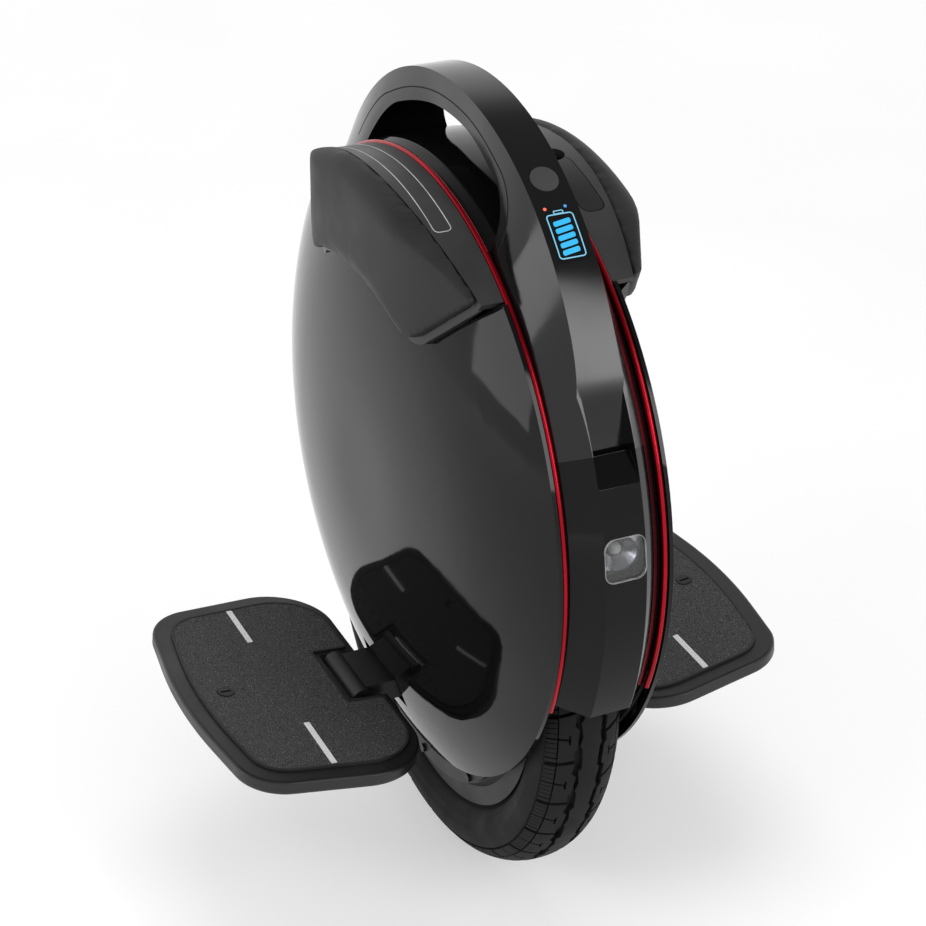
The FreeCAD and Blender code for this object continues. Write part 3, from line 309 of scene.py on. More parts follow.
def circuit_board():
    """Green board with its tracks showing through."""
    shade = Shade("board_green", (0.015, 0.12, 0.05), 0.4)
    tracks = shade.noise(240.0, 1.0, shade.stretched(1.0, 3.0, 1.0))
    shade.drive("Base Color", shade.ramp(
        tracks, (0.45, (0.012, 0.1, 0.04)), (0.55, (0.02, 0.17, 0.07))))
    shade.bump(tracks, 0.2, 0.05)
    return shade.material


def cell_wrap():
    """Heat-shrink film over the cells, with its wrinkles."""
    shade = Shade("cell_wrap", (0.02, 0.09, 0.25), 0.3)
    folds = shade.noise(50.0, 4.0)
    shade.drive("Roughness", shade.spread(folds, 0.22, 0.4))
    shade.drive("Base Color", shade.ramp(
        folds, (0.3, (0.015, 0.07, 0.2)), (0.7, (0.025, 0.11, 0.3))))
    shade.bump(folds, 0.4, 1.0)
    return shade.material


MATERIALS = {
    "gloss_black": gloss_black("gloss_black", 0.22, 0.06),
    "handle_gloss": gloss_black("handle_gloss", 0.42, 0.13),
    "fascia_gloss": gloss_black("fascia_gloss", 0.17, 0.06),
    "satin_black": satin_black("satin_black", tint(0.012), 0.32),
    "cover_black": satin_black("cover_black", tint(0.03), 0.42),
    "button_grey": satin_black("button_grey", tint(0.04), 0.5),
    "inner_black": satin_black("inner_black", tint(0.02), 0.55),
    "pad_skin": pad_skin(),
    "trim_red": red_anodised(),
    "aluminium": brushed("aluminium", (0.62, 0.62, 0.64), 0.35, (1.0, 8.0, 1.0)),
    "dark_rim": satin_black("dark_rim", tint(0.007), 0.45),
    "steel": brushed("steel", (0.56, 0.56, 0.58), 0.3, (6.0, 1.0, 1.0)),
    "dark_steel": brushed("dark_steel", (0.05, 0.05, 0.052), 0.38, (6.0, 1.0, 1.0)),
    "lamination": brushed("lamination", (0.22, 0.22, 0.23), 0.5, (1.0, 20.0, 1.0)),
    "copper": brushed("copper", (0.7, 0.3, 0.12), 0.35, (1.0, 10.0, 1.0)),
    "black_metal": powder_coat(),
    "grit_sheet": grit(),
    "white_paint": white_paint(),
    "tyre_rubber": tyre_rubber(),
    "rubber_black": plain_rubber("rubber_black", tint(0.018), 0.6),
    "lens_clear": clear_lens(),
    "lens_red": red_lens(),
    "mirror_bowl": mirror_bowl(),
    "screen": screen(),
    "board_green": circuit_board(),
    "cell_wrap": cell_wrap(),
    "bar_blue": glow("bar_blue", (0.015, 0.3, 0.55), 0.75),
    "line_blue": glow("line_blue", (0.15, 0.4, 0.55), 0.6),
    "dot_red": glow("dot_red", (0.9, 0.12, 0.06), 0.8),
    "dot_blue": glow("dot_blue", (0.05, 0.25, 0.6), 0.5),
    "emitter": glow("emitter", (0.36, 0.36, 0.33), 0.03),
    "pale_ink": plain_rubber("pale_ink", tint(0.42), 0.6),
    # The seam exists on the real object; its near-black colour is painted shade standing in for the shadow
    # in the gap between cover and grip.
    "seam_painted_shade": plain_rubber("seam_painted_shade", tint(0.0015), 0.85),
    "pale_edge": plain_rubber("pale_edge", tint(0.3), 0.3),
}

NODE_LOOKS = {
    "gloss_black": ["side_panel_left", "side_panel_right"],
    "fascia_gloss": ["front_fascia", "rear_fascia", "saddle"],
    "handle_gloss": ["handle_cover", "handle_grip"],
    "satin_black": ["lift_switch", "trolley_grip", "charge_port"],
    "cover_black": ["pad_cover_left", "pad_cover_right"],
    "button_grey": ["power_button"],
    "inner_black": ["chassis_left", "chassis_right", "wheel_arch", "speaker"],
    "pad_skin": ["leg_pad_left", "leg_pad_right"],
    "trim_red": ["trim_left", "trim_right"],
    "aluminium": ["heat_sink", "trolley_outer_tube", "trolley_mid_tube", "trolley_rod"],
    "dark_rim": ["rim", "motor_cover_left", "motor_cover_right"],
    "steel": ["axle", "axle_nuts", "bearing_left", "bearing_right", "magnet_ring"],
    "dark_steel": ["motor_cover_screws", "pedal_pin_left", "pedal_pin_right", "hanger_bolts",
                   "pedal_magnet_left", "pedal_magnet_right"],
    "black_metal": ["pedal_plate_left", "pedal_plate_right", "pedal_hanger_left", "pedal_hanger_right"],
    "grit_sheet": ["pedal_grip_sheet_left", "pedal_grip_sheet_right"],
    "tyre_rubber": ["tyre"],
    "rubber_black": ["inner_tube", "charge_port_cap", "motor_cable", "valve_stem"],
    "lamination": ["stator"],
    "copper": ["stator_windings"],
    "lens_clear": ["headlight_lens"],
    "lens_red": ["tail_light_lens"],
    "mirror_bowl": ["headlight_reflector"],
    "screen": ["display_panel"],
    "board_green": ["headlight_board", "control_board"],
    "cell_wrap": ["battery_pack_left", "battery_pack_right"],
}

for look, members in NODE_LOOKS.items():
    for node in members:
        slots = nodes[node].data.materials
        slots.clear()
        slots.append(MATERIALS[look])


# Mesh helpers


def add_piece(name, points_mm, faces, look, body, crease=CREASE):
    """A new piece from points in millimetres, shaded smooth below the crease angle."""
    mesh = bpy.data.meshes.new(name)
    mesh.from_pydata([tuple(c * MM for c in point) for point in points_mm], [], faces)
    mesh.validate()
    return add_mesh(name, mesh, look, body, crease)


def add_mesh(name, mesh, look, body, crease=CREASE):
    """A new piece from a mesh, riding on a body and filling a slot."""
    shape = bmesh.new()
    shape.from_mesh(mesh)
    bmesh.ops.recalc_face_normals(shape, faces=shape.faces)
    shape.to_mesh(mesh)
    shape.free()
    mesh.polygons.foreach_set("use_smooth", [True] * len(mesh.polygons))
    mesh.set_sharp_from_angle(angle=math.radians(crease))
    mesh.materials.append(MATERIALS[look])
    piece = bpy.data.objects.new(name, mesh)
    SCENE.collection.objects.link(piece)
    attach(piece, body)
    return piece


def flat_solid(outline, low, high, step=None):
    """A prism on a plane outline: points (a, b, h) and faces, cut into cells of a given size."""
    shape = bmesh.new()
    ring = [shape.verts.new((a, b, low)) for a, b in outline]
    shape.faces.new(ring)
    if step:
        for axis, normal in enumerate((Vector((1, 0, 0)), Vector((0, 1, 0)))):
            values = [point[axis] for point in outline]
            place = math.ceil(min(values) / step) * step
            while place < max(values):
                everything = list(shape.verts) + list(shape.edges) + list(shape.faces)
                bmesh.ops.bisect_plane(shape, geom=everything, plane_co=normal * place, plane_no=normal)
                place += step
    made = bmesh.ops.extrude_face_region(shape, geom=list(shape.faces), use_keep_orig=True)
    for item in made["geom"]:
        if isinstance(item, bmesh.types.BMVert):
            item.co.z = high
    shape.verts.index_update()
    points = [tuple(vert.co) for vert in shape.verts]
    faces = [[vert.index for vert in face.verts] for face in shape.faces]
    shape.free()
    return points, faces


def arc(centre, radius, start, end, count):
    """Points along an arc, angles in degrees."""
    points = []
    for index in range(count + 1):
        angle = math.radians(start + (end - start) * index / count)
        points.append((centre[0] + radius * math.cos(angle), centre[1] + radius * math.sin(angle)))
    return points


def rounded_box(half_a, half_b, corner, middle=(0.0, 0.0), steps=5):
    """A rounded rectangle, anticlockwise."""
    points = []
    for sign_a, sign_b, start in ((1, 1, 0), (-1, 1, 90), (-1, -1, 180), (1, -1, 270)):
        centre = (middle[0] + sign_a * (half_a - corner), middle[1] + sign_b * (half_b - corner))
        points += arc(centre, corner, start, start + 90, steps)
    return points


def soften(polygon, steps=8):
    """Round the corners (x, y, radius) of an anticlockwise polygon with tangent arcs."""
    points = []
    for index, (x, y, radius) in enumerate(polygon):
        here = Vector((x, y))
        before = (Vector(polygon[index - 1][:2]) - here).normalized()
        after = (Vector(polygon[(index + 1) % len(polygon)][:2]) - here).normalized()
        half = before.angle(after) / 2.0
        centre = here + (before + after).normalized() * (radius / math.sin(half))
        cut = radius / math.tan(half)
        start = here + before * cut - centre
        end = here + after * cut - centre
        turn = start.angle_signed(end)
        for step in range(steps + 1):
            spin = Matrix.Rotation(-turn * step / steps, 2)
            points.append(tuple(centre + spin @ start))
    return points


def inset(points, distance):
    """A closed anticlockwise outline moved inwards, with doubled points dropped."""
    moved = []
    count = len(points)
    for index in range(count):
        before = Vector(points[index - 1])
        here = Vector(points[index])
        after = Vector(points[(index + 1) % count])
        first = here - before
        second = after - here
        if first.length < 1e-6 or second.length < 1e-6:
            continue
        normal = Vector((-first.y, first.x)).normalized() + Vector((-second.y, second.x)).normalized()
        scale = 2.0 / max(normal.length_squared, 0.5)
        moved.append(tuple(here + normal * distance * scale))
    return moved


def ring_solid(outer, inner, low, high):
    """A flat frame between two outlines with the same number of points."""
    count = len(outer)
    points = []
    for height in (low, high):
        points += [(a, b, height) for a, b in outer]
        points += [(a, b, height) for a, b in inner]
    faces = []
    for index in range(count):
        after = (index + 1) % count
        o0, o1 = index, after
        i0, i1 = count + index, count + after
        top = 2 * count
        faces.append((o0, i0, i1, o1))
        faces.append((o0 + top, o1 + top, i1 + top, i0 + top))
        faces.append((o0, o1, o1 + top, o0 + top))
        faces.append((i0, i0 + top, i1 + top, i1))
    return points, faces


def fine(outline, pieces=24):
    """The same outline with its sides cut into short pieces, to follow a curve."""
    points = []
    for index, end in enumerate(outline):
        start = Vector(outline[index - 1])
        side = Vector(end) - start
        for step in range(pieces):
            points.append(tuple(start + side * step / pieces))
    return points


def on_pedal(side):
    """Where a point (x, reach, height) of a flat pedal goes on its side."""
    def place(x, reach, height):
        y = HINGE_Y + reach * math.cos(PEDAL_TILT) - height * math.sin(PEDAL_TILT)
        z = HINGE_Z + reach * math.sin(PEDAL_TILT) + height * math.cos(PEDAL_TILT)
        return (x, y, z) if side > 0 else (-x, -y, z)
    return place


def on_arch(angle):
    """Where a point (along, across, height) on the arch strip goes; along runs up the strip."""
    def place(along, across, height):
        turn = angle + along / ARCH_RADIUS
        radius = ARCH_RADIUS + height
        return (ARCH_X + radius * math.cos(turn), across, ARCH_Z + radius * math.sin(turn))
    return place


def add_flat(name, solid, place, look, body):
    """A flat piece laid on a curved or tilted surface."""
    points, faces = solid
    add_piece(name, [place(*point) for point in points], faces, look, body)


def anticlockwise(outline):
    """An outline whose points begin with two coordinates, turned to run anticlockwise."""
    area = 0.0
    for index, here in enumerate(outline):
        before = outline[index - 1]
        area += before[0] * here[1] - here[0] * before[1]
    return outline if area > 0 else outline[::-1]


def merge(solids):
    """Several (points, faces) as one."""
    points = []
    faces = []
    for more_points, more_faces in solids:
        start = len(points)
        points += more_points
        faces += [[index + start for index in face] for face in more_faces]
    return points, faces


# Soft edges on the CAD nodes that have sharp ones

SOFT_EDGES = {
    "handle_cover": 1.4, "handle_grip": 2.2, "front_fascia": 1.2, "rear_fascia": 1.2, "saddle": 0.8,
    "pad_cover_left": 1.2, "pad_cover_right": 1.2, "trolley_grip": 1.0, "pedal_hanger_left": 1.6,
    "pedal_hanger_right": 1.6, "power_button": 0.6, "charge_port_cap": 0.8, "side_panel_left": 0.8,
    "side_panel_right": 0.8, "headlight_lens": 0.5, "tail_light_lens": 0.5,
}
WELD_WITHIN = 0.01
EDGE_STEPS = 3
SHARP_FROM = math.radians(28.0)


def soften_edges():
    """Round the sharp edges of these nodes with modifiers, leaving their meshes as they are."""
    for name, width in SOFT_EDGES.items():
        piece = nodes[name]
        weld = piece.modifiers.new("weld", "WELD")
        weld.merge_threshold = WELD_WITHIN * MM
        bevel = piece.modifiers.new("edge", "BEVEL")
        bevel.width = width * MM
        bevel.segments = EDGE_STEPS
        bevel.limit_method = "ANGLE"
        bevel.angle_limit = SHARP_FROM
        bevel.use_clamp_overlap = True
        even = piece.modifiers.new("even", "WEIGHTED_NORMAL")
        even.keep_sharp = True


soften_edges()


# Tyre: lengths across the tread are measured round its section, from the crown

TREAD_PITCHES = 31
TREAD_DEPTH = 4.2
TREAD_CELL = 4.0
BLOCK_ROOT = TREAD_DEPTH + 0.4
TYRE_CREASE = 32.0
RIB_EDGE = 7.2
BLOCK_IN = 9.8
BLOCK_OUT = 23.4
SHOULDER_IN = 24.4
SHOULDER_OUT = 33.0
ZIG_AT = (0.55, 0.7, 1.5, 1.62)
RIB_ZIG = (-0.8, 0.8, -1.6, -0.6, 1.0, -0.8)
BLOCK_ZIG = (1.4, 2.6, -0.4, 0.6, 2.8, 2.0)
GROOVE_HALF = 1.5
BLOCK_SLANT = 3.6
CUT_HALF = 0.9
CROSS_IN = BLOCK_IN + 5.2
CROSS_OUT = CROSS_IN + 1.4
CROSS_HALF = 4.0
SIPES = 9
SIPE_HALF = 0.3
SIPE_WIDE = 0.9
WIDE_EVERY = 4
SIPE_LEAN = 1.6
FLOOR_POINTS = 12
FLOOR_END = SHOULDER_OUT - 3.0
SHOULDER_FOOT = (SHOULDER_OUT + 0.5, -1.4)
WALL_START = SHOULDER_OUT + 2.0
WALL_POINTS = 34
WALL_SUNK = -0.5
WALL_LINES = ((46.0, 49.0), (55.0, 57.5))
WALL_LINE_RISE = 0.35
CASING_INSIDE = [(14.0, 153.2), (14.0, 162.0), (25.0, 182.0), (12.0, 192.0)]
CASING_TURNS = 192
TYRE_PROFILE = [
    (0.0, 205.9), (6.0, 205.6), (12.0, 204.3), (18.0, 201.7), (23.0, 198.3), (27.0, 193.9), (29.8, 189.2),
    (31.4, 184.0), (31.7, 179.0), (30.6, 173.5), (28.0, 168.0), (24.0, 163.2), (20.0, 160.6), (19.8, 153.2),
]


class Profile:
    """The tyre's half section by its arc length, with outward normals."""

    def __init__(self, corners):
        dense = self.smooth(np.array(corners))
        steps = np.hypot(*np.diff(dense, axis=0).T)
        self.length = np.concatenate(([0.0], np.cumsum(steps)))
        self.points = dense
        tangent = np.gradient(dense, self.length, axis=0)
        tangent /= np.linalg.norm(tangent, axis=1)[:, None]
        self.normals = np.stack((-tangent[:, 1], tangent[:, 0]), axis=1)

    @staticmethod
    def smooth(corners):
        """A Catmull-Rom line through the corners."""
        first = corners[0] * (-1.0, 1.0) + (-corners[1][0] + corners[0][0], corners[1][1] - corners[0][1])
        padded = np.vstack((first, corners, 2 * corners[-1] - corners[-2]))
        line = []
        for index in range(1, len(padded) - 2):
            p0, p1, p2, p3 = padded[index - 1:index + 3]
            for t in np.linspace(0.0, 1.0, 8, endpoint=False):
                line.append(0.5 * ((2 * p1) + (p2 - p0) * t + (2 * p0 - 5 * p1 + 4 * p2 - p3) * t ** 2
                                   + (3 * p1 - p0 - 3 * p2 + p3) * t ** 3))
        line.append(corners[-1])
        return np.array(line)

    def at(self, place, height):
        """(y, radius) at a signed arc length, raised along the normal."""
        reach = abs(place)
        point = [np.interp(reach, self.length, self.points[:, axis]) for axis in (0, 1)]
        normal = [np.interp(reach, self.length, self.normals[:, axis]) for axis in (0, 1)]
        outward = 1.0 if normal[1] >= 0 or reach > 20 else -1.0
        y = point[0] + outward * normal[0] * height
        radius = point[1] + outward * normal[1] * height
        return (y if place >= 0 else -y), radius


def round_tyre(place, along, height, profile):
    """A tread point (arc length across, length round the crown, height) in space."""
    y, radius = profile.at(place, height)
    angle = along / TYRE_RADIUS
    return (radius * math.cos(angle), y, AXLE_Z + radius * math.sin(angle))


def zigzag(edge, shifts, start, end, half):
    """One pitch of an edge that steps in and out, as (across, along) points."""
    places = [start] + [half * place for place in ZIG_AT] + [end]
    return [(edge + shift, place) for shift, place in zip(shifts, places)]


def tread_outlines(pitch):
    """The raised blocks of one pitch on the left half, as (across, along) outlines."""
    half = pitch / 2.0
    inner = zigzag(BLOCK_IN, BLOCK_ZIG, GROOVE_HALF, pitch - GROOVE_HALF, half)
    notch = half + BLOCK_SLANT * 0.5
    outer = [(BLOCK_OUT, pitch - GROOVE_HALF + BLOCK_SLANT), (BLOCK_OUT, notch + CUT_HALF),
             (CROSS_OUT, notch + CUT_HALF), (CROSS_OUT, notch + CROSS_HALF),
             (CROSS_IN, notch + CROSS_HALF), (CROSS_IN, notch - CROSS_HALF),
             (CROSS_OUT, notch - CROSS_HALF), (CROSS_OUT, notch - CUT_HALF),
             (BLOCK_OUT, notch - CUT_HALF), (BLOCK_OUT, GROOVE_HALF + BLOCK_SLANT)]
    blocks = [inner + outer]
    width = (pitch - 2 * GROOVE_HALF) / SIPES
    for index in range(SIPES):
        gap = SIPE_WIDE if index % WIDE_EVERY == 0 else SIPE_HALF
        low = GROOVE_HALF + index * width + gap + BLOCK_SLANT
        high = GROOVE_HALF + (index + 1) * width - SIPE_HALF + BLOCK_SLANT
        blocks.append([(SHOULDER_IN, low), (SHOULDER_OUT, low + SIPE_LEAN),
                       (SHOULDER_OUT, high + SIPE_LEAN), (SHOULDER_IN, high)])
    return blocks


def rib_outline(pitch):
    """One pitch of the centre rib, whose edges step in and out."""
    right = zigzag(RIB_EDGE, RIB_ZIG, 0.0, pitch, pitch / 2.0)
    left = [(-across, along) for across, along in right]
    return right + left[::-1]


def make_tyre():
    """Carcass, centre rib, slotted blocks and siped shoulders, replacing the plain CAD tyre."""
    profile = Profile(TYRE_PROFILE)
    pitch = 2 * math.pi * TYRE_RADIUS / TREAD_PITCHES
    solids = []
    left = [anticlockwise(outline) for outline in tread_outlines(pitch)]
    pattern = [flat_solid(outline, -BLOCK_ROOT, 0.0, TREAD_CELL) for outline in left]
    rib_points, rib_faces = flat_solid(anticlockwise(rib_outline(pitch)), -BLOCK_ROOT, 0.0, TREAD_CELL)
    for index in range(TREAD_PITCHES):
        start = index * pitch
        solids.append(([round_tyre(a, b + start, h, profile) for a, b, h in rib_points], rib_faces))
        for points, faces in pattern:
            solids.append(([round_tyre(a, b + start, h, profile) for a, b, h in points], faces))
            shift = start + pitch / 2.0
            solids.append(([round_tyre(-a, shift - b, h, profile) for a, b, h in points], faces))
    solids.append(carcass(profile))
    points, faces = merge(solids)
    tyre = add_piece("tyre_tread", points, faces, "tyre_rubber", "wheel", TYRE_CREASE)
    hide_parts("tyre")


def carcass(profile):
    """The turned casing: groove floor under the tread, then ribbed sidewalls down to the bead."""
    half = [profile.at(place, -TREAD_DEPTH) for place in np.linspace(0.0, FLOOR_END, FLOOR_POINTS)]
    half.append(profile.at(*SHOULDER_FOOT))
    for place in np.linspace(WALL_START, profile.length[-1], WALL_POINTS):
        raised = any(low < place < high for low, high in WALL_LINES)
        half.append(profile.at(place, WALL_SUNK + (WALL_LINE_RISE if raised else 0.0)))
    section = [(-y, radius) for y, radius in half[::-1]] + half[1:]
    section += CASING_INSIDE + [(-y, radius) for y, radius in CASING_INSIDE[::-1]]
    points = []
    for index in range(CASING_TURNS):
        angle = 2 * math.pi * index / CASING_TURNS
        for y, radius in section:
            points.append((radius * math.cos(angle), y, AXLE_Z + radius * math.sin(angle)))
    faces = []
    count = len(section)
    for index in range(CASING_TURNS):
        here = index * count
        there = (index + 1) % CASING_TURNS * count
        for step in range(count):
            after = (step + 1) % count
            faces.append((here + step, here + after, there + after, there + step))
    return points, faces


make_tyre()


# Leg pads

PAD_VOXEL = 2.2 * MM
PAD_SWELL = 2.0 * MM
PAD_FILL = 0.6 * MM
PAD_WELD = 0.01 * MM
PAD_SMOOTHINGS = 5
PUFF_PRESSURE = 3.0
PUFF_STIFFNESS = 40.0
PUFF_FRAMES = 12


def pad_piece(side):
    """A foam pad puffed from the CAD pad's own form, with its swelling capped."""
    node = nodes["leg_pad_" + side]
    mesh = node.data.copy()
    mesh.name = "pad_cushion_" + side
    pad = bpy.data.objects.new("pad_cushion_" + side, mesh)
    SCENE.collection.objects.link(pad)
    shape = bmesh.new()
    shape.from_mesh(mesh)
    bmesh.ops.remove_doubles(shape, verts=shape.verts, dist=PAD_WELD)
    shape.to_mesh(mesh)
    shape.free()
    remesh = pad.modifiers.new("skin", "REMESH")
    remesh.mode = "VOXEL"
    remesh.voxel_size = PAD_VOXEL
    settle = pad.modifiers.new("settle", "SMOOTH")
    settle.factor = 0.5
    settle.iterations = PAD_SMOOTHINGS
    frozen(pad)
    rest = spread_out(pad, PAD_FILL)
    puff(pad, rest)
    final = pad.modifiers.new("final", "SUBSURF")
    final.levels = 1
    final.render_levels = 1
    frozen(pad)
    pad.data.materials.clear()
    pad.data.materials.append(MATERIALS["pad_skin"])
    pad.data.polygons.foreach_set("use_smooth", [True] * len(pad.data.polygons))
    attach(pad, "chassis")
    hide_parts("leg_pad_" + side)


def frozen(piece):
    """Apply every modifier of a piece to its mesh, and return its points."""
    graph = bpy.context.evaluated_depsgraph_get()
    made = bpy.data.meshes.new_from_object(piece.evaluated_get(graph))
    piece.modifiers.clear()
    made.name = piece.data.name
    piece.data = made
    return np.array([vert.co for vert in made.vertices])


def spread_out(piece, distance):
    """Move every point of a piece out along its normal, and return the points."""
    normals = np.array([normal.vector for normal in piece.data.vertex_normals])
    points = np.array([vert.co for vert in piece.data.vertices]) + normals * distance
    piece.data.vertices.foreach_set("co", points.astype(np.float32).ravel())
    piece.data.update()
    return points


def puff(pad, rest):
    """Inflate a pad a little with cloth pressure, keeping each point near where it began."""
    cloth = pad.modifiers.new("puff", "CLOTH")
    settings = cloth.settings
    settings.use_pressure = True
    settings.uniform_pressure_force = PUFF_PRESSURE
    settings.effector_weights.gravity = 0.0
    settings.tension_stiffness = PUFF_STIFFNESS
    settings.compression_stiffness = PUFF_STIFFNESS
    for step in range(1, PUFF_FRAMES + 1):
        SCENE.frame_set(step)
    moved = frozen(pad)
    SCENE.frame_set(1)
    shift = moved - rest
    length = np.linalg.norm(shift, axis=1)
    scale = np.minimum(1.0, PAD_SWELL / np.maximum(length, 1e-9))
    kept = rest + shift * scale[:, None]
    pad.data.vertices.foreach_set("co", kept.astype(np.float32).ravel())
    pad.data.update()


for pad_side in ("left", "right"):
    pad_piece(pad_side)


# Pedals: printed stripe and the raised edge round the grip sheet

SHEET_OUTLINE = soften([
    (-115.0, -11.0, 38.0), (-36.0, -11.0, 3.0), (-36.0, 17.0, 3.0), (36.0, 17.0, 3.0), (36.0, -11.0, 3.0),
    (115.0, -11.0, 38.0), (102.5, 105.0, 26.0), (0.0, 121.0, 400.0), (-102.5, 105.0, 26.0),
])
STRIPE_REACH = 55.5
STRIPE_HALF = 2.2
STRIPE_CORNER = 0.6
STRIPE_RUNS = ((-106.0, -53.0), (60.0, 107.0))
STRIPE_HEIGHTS = (SHEET_TOP - 0.1, SHEET_TOP + 0.18)
EDGE_WIDTH = 1.5
EDGE_HEIGHTS = (PEDAL_TOP - 0.2, SHEET_TOP + 0.5)


def pedal_details(side_name, side):
    """One pedal's printed stripes, and the edge whose inside follows the sheet."""
    place = on_pedal(side)
    body = side_name + "_pedal"
    runs = []
    for low, high in STRIPE_RUNS:
        middle = ((high + low) / 2.0, STRIPE_REACH)
        outline = rounded_box((high - low) / 2.0, STRIPE_HALF, STRIPE_CORNER, middle)
        runs.append(flat_solid(outline, *STRIPE_HEIGHTS))
    add_flat("pedal_stripe_" + side_name, merge(runs), place, "white_paint", body)
    inner = inset(SHEET_OUTLINE, 0.0)
    outer = inset(SHEET_OUTLINE, -EDGE_WIDTH)
    edge = ring_solid(outer, inner, *EDGE_HEIGHTS)
    add_flat("pedal_sheet_edge_" + side_name, edge, place, "rubber_black", body)


for side_name, side in (("left", 1), ("right", -1)):
    pedal_details(side_name, side)


# Display

BARS = 5
BAR_HALF = 6.2
BAR_TALL = 1.75
BAR_STEP = 5.0
BAR_DROP = 0.8
BAR_LEAN = 0.9
BAR_CORNER = 1.2
BAR_CELL = 3.0
CASE_HALF = 9.6
CASE_TALL = 15.5
CASE_CORNER = 2.6
CASE_LINE = 0.8
TERMINAL = ((1.3, 3.6, 1.0, 1.1), (0.7, 2.9, 0.4, 1.0))
DOTS = (("dot_red", -8.2), ("dot_blue", 6.2))
DOT_RADIUS = 1.1
DOT_PAST = 4.4


def gauge_bar(middle):
    """One bar of the gauge, a leaning rounded box across the strip."""
    low = middle - BAR_TALL
    high = middle + BAR_TALL
    corners = [(low - BAR_LEAN, -BAR_HALF, BAR_CORNER), (low + BAR_LEAN, BAR_HALF, BAR_CORNER),
               (high + BAR_LEAN, BAR_HALF, BAR_CORNER), (high - BAR_LEAN, -BAR_HALF, BAR_CORNER)]
    outline = anticlockwise(soften(anticlockwise(corners)))
    return flat_solid(outline, PRINT_LOW, PRINT_HIGH, BAR_CELL)


def display_icons():
    """A battery gauge: outline with a terminal, five bars, and two small indicator dots."""
    place = on_arch(DISPLAY_ANGLE)
    bars = [gauge_bar((index - BARS // 2) * BAR_STEP - BAR_DROP) for index in range(BARS)]
    add_flat("display_bars", merge(bars), place, "bar_blue", "chassis")
    outer = fine(rounded_box(CASE_TALL, CASE_HALF, CASE_CORNER), 8)
    inner = fine(rounded_box(CASE_TALL - CASE_LINE, CASE_HALF - CASE_LINE, CASE_CORNER - CASE_LINE), 8)
    case = ring_solid(outer, inner, PRINT_LOW, PRINT_HIGH)
    rings = []
    for half_along, half_across, corner, past in TERMINAL:
        rings.append(rounded_box(half_along, half_across, corner, (CASE_TALL + past, 0.0), steps=4))
    terminal = ring_solid(*rings, PRINT_LOW, PRINT_HIGH)
    add_flat("display_case", merge([case, terminal]), place, "line_blue", "chassis")
    for look, across in DOTS:
        round_outline = arc((CASE_TALL + DOT_PAST, across), DOT_RADIUS, 0, 345, 23)
        dot = flat_solid(round_outline, PRINT_LOW, PRINT_HIGH)
        add_flat("display_" + look, dot, place, look, "chassis")


display_icons()


# Headlight: a pale edge round the lens and the lamp's dome in its bowl

LENS_HALF = (15.1, 15.0)
LENS_CORNER = 7.0
LENS_EDGE = 0.55
LENS_EDGE_HEIGHTS = (-1.0, -0.05)
DOME_X = 222.5
DOME_RADIUS = 4.2


def on_front(across, up, height):
    """Where a point on the front fascia's round face goes."""
    turn = math.asin((LAMP_Z + up - BODY_Z) / FACE_RADIUS)
    radius = FACE_RADIUS + height
    return (radius * math.cos(turn), across, BODY_Z + radius * math.sin(turn))


def headlight_details():
    """The pale edge in the lens opening, and the small dome at the back of the bowl."""
    half_y, half_z = LENS_HALF
    outer = rounded_box(half_y, half_z, LENS_CORNER)
    inner = rounded_box(half_y - LENS_EDGE, half_z - LENS_EDGE, LENS_CORNER - LENS_EDGE)
    edge = ring_solid(outer, inner, *LENS_EDGE_HEIGHTS)
    add_flat("headlight_edge", edge, on_front, "pale_edge", "chassis")
    dome = bpy.data.meshes.new("headlight_dome")
    ball = bmesh.new()
    bmesh.ops.create_uvsphere(ball, u_segments=24, v_segments=12, radius=DOME_RADIUS * MM)
    bmesh.ops.translate(ball, verts=ball.verts, vec=Vector((DOME_X, 0.0, LAMP_Z)) * MM)
    ball.to_mesh(dome)
    ball.free()
    add_mesh("headlight_dome", dome, "emitter", "chassis")


headlight_details()


# The seam between the arch's cover and its inner grip, drawn as a near-black line of painted shade

SEAM_FRONT = 108.0
SEAM_REAR = -128.0
SEAM_CORNERS = ((SEAM_FRONT, 536.0), (78.0, 574.8), (-94.0, 564.8), (SEAM_REAR, 522.0))
SEAM_BENDS = (46.0, 192.0, 60.0)
SEAM_BEND_STEPS = 40
SEAM_FRONT_FOOT = (518.0, 527.0)
SEAM_REAR_FOOT = 506.0
SEAM_HALF = 0.45
SEAM_RISE = 0.14
SEAM_DEPTH = 0.8
RAY_FROM = 0.09
RAY_REACH = 0.085


def bend(start, end, radius, count):
    """Points along an arc of a given radius that bulges up and out from the hand opening."""
    first = Vector(start)
    chord = Vector(end) - first
    inward = Vector((-chord.y, chord.x)).normalized()
    centre = first + chord / 2.0 + inward * math.sqrt(radius ** 2 - (chord.length / 2.0) ** 2)
    swing = (first - centre).angle_signed(Vector(end) - centre)
    points = []
    for step in range(count):
        points.append(centre + Matrix.Rotation(-swing * step / count, 2) @ (first - centre))
    return points


def seam_path():
    """The seam in side view, as (x, z) points from the front foot to the rear foot."""
    path = [Vector((SEAM_FRONT, height)) for height in SEAM_FRONT_FOOT]
    for start, end, radius in zip(SEAM_CORNERS, SEAM_CORNERS[1:], SEAM_BENDS):
        path += bend(start, end, radius, SEAM_BEND_STEPS)
    path += [Vector(SEAM_CORNERS[-1]), Vector((SEAM_REAR, SEAM_REAR_FOOT))]
    return path


def surface_of(names):
    """The outer surface of some nodes, to lay lines on."""
    points = []
    faces = []
    for name in names:
        node = nodes[name]
        start = len(points)
        points += [node.matrix_world @ vert.co for vert in node.data.vertices]
        faces += [[index + start for index in face.vertices] for face in node.data.polygons]
    return BVHTree.FromPolygons(points, faces)


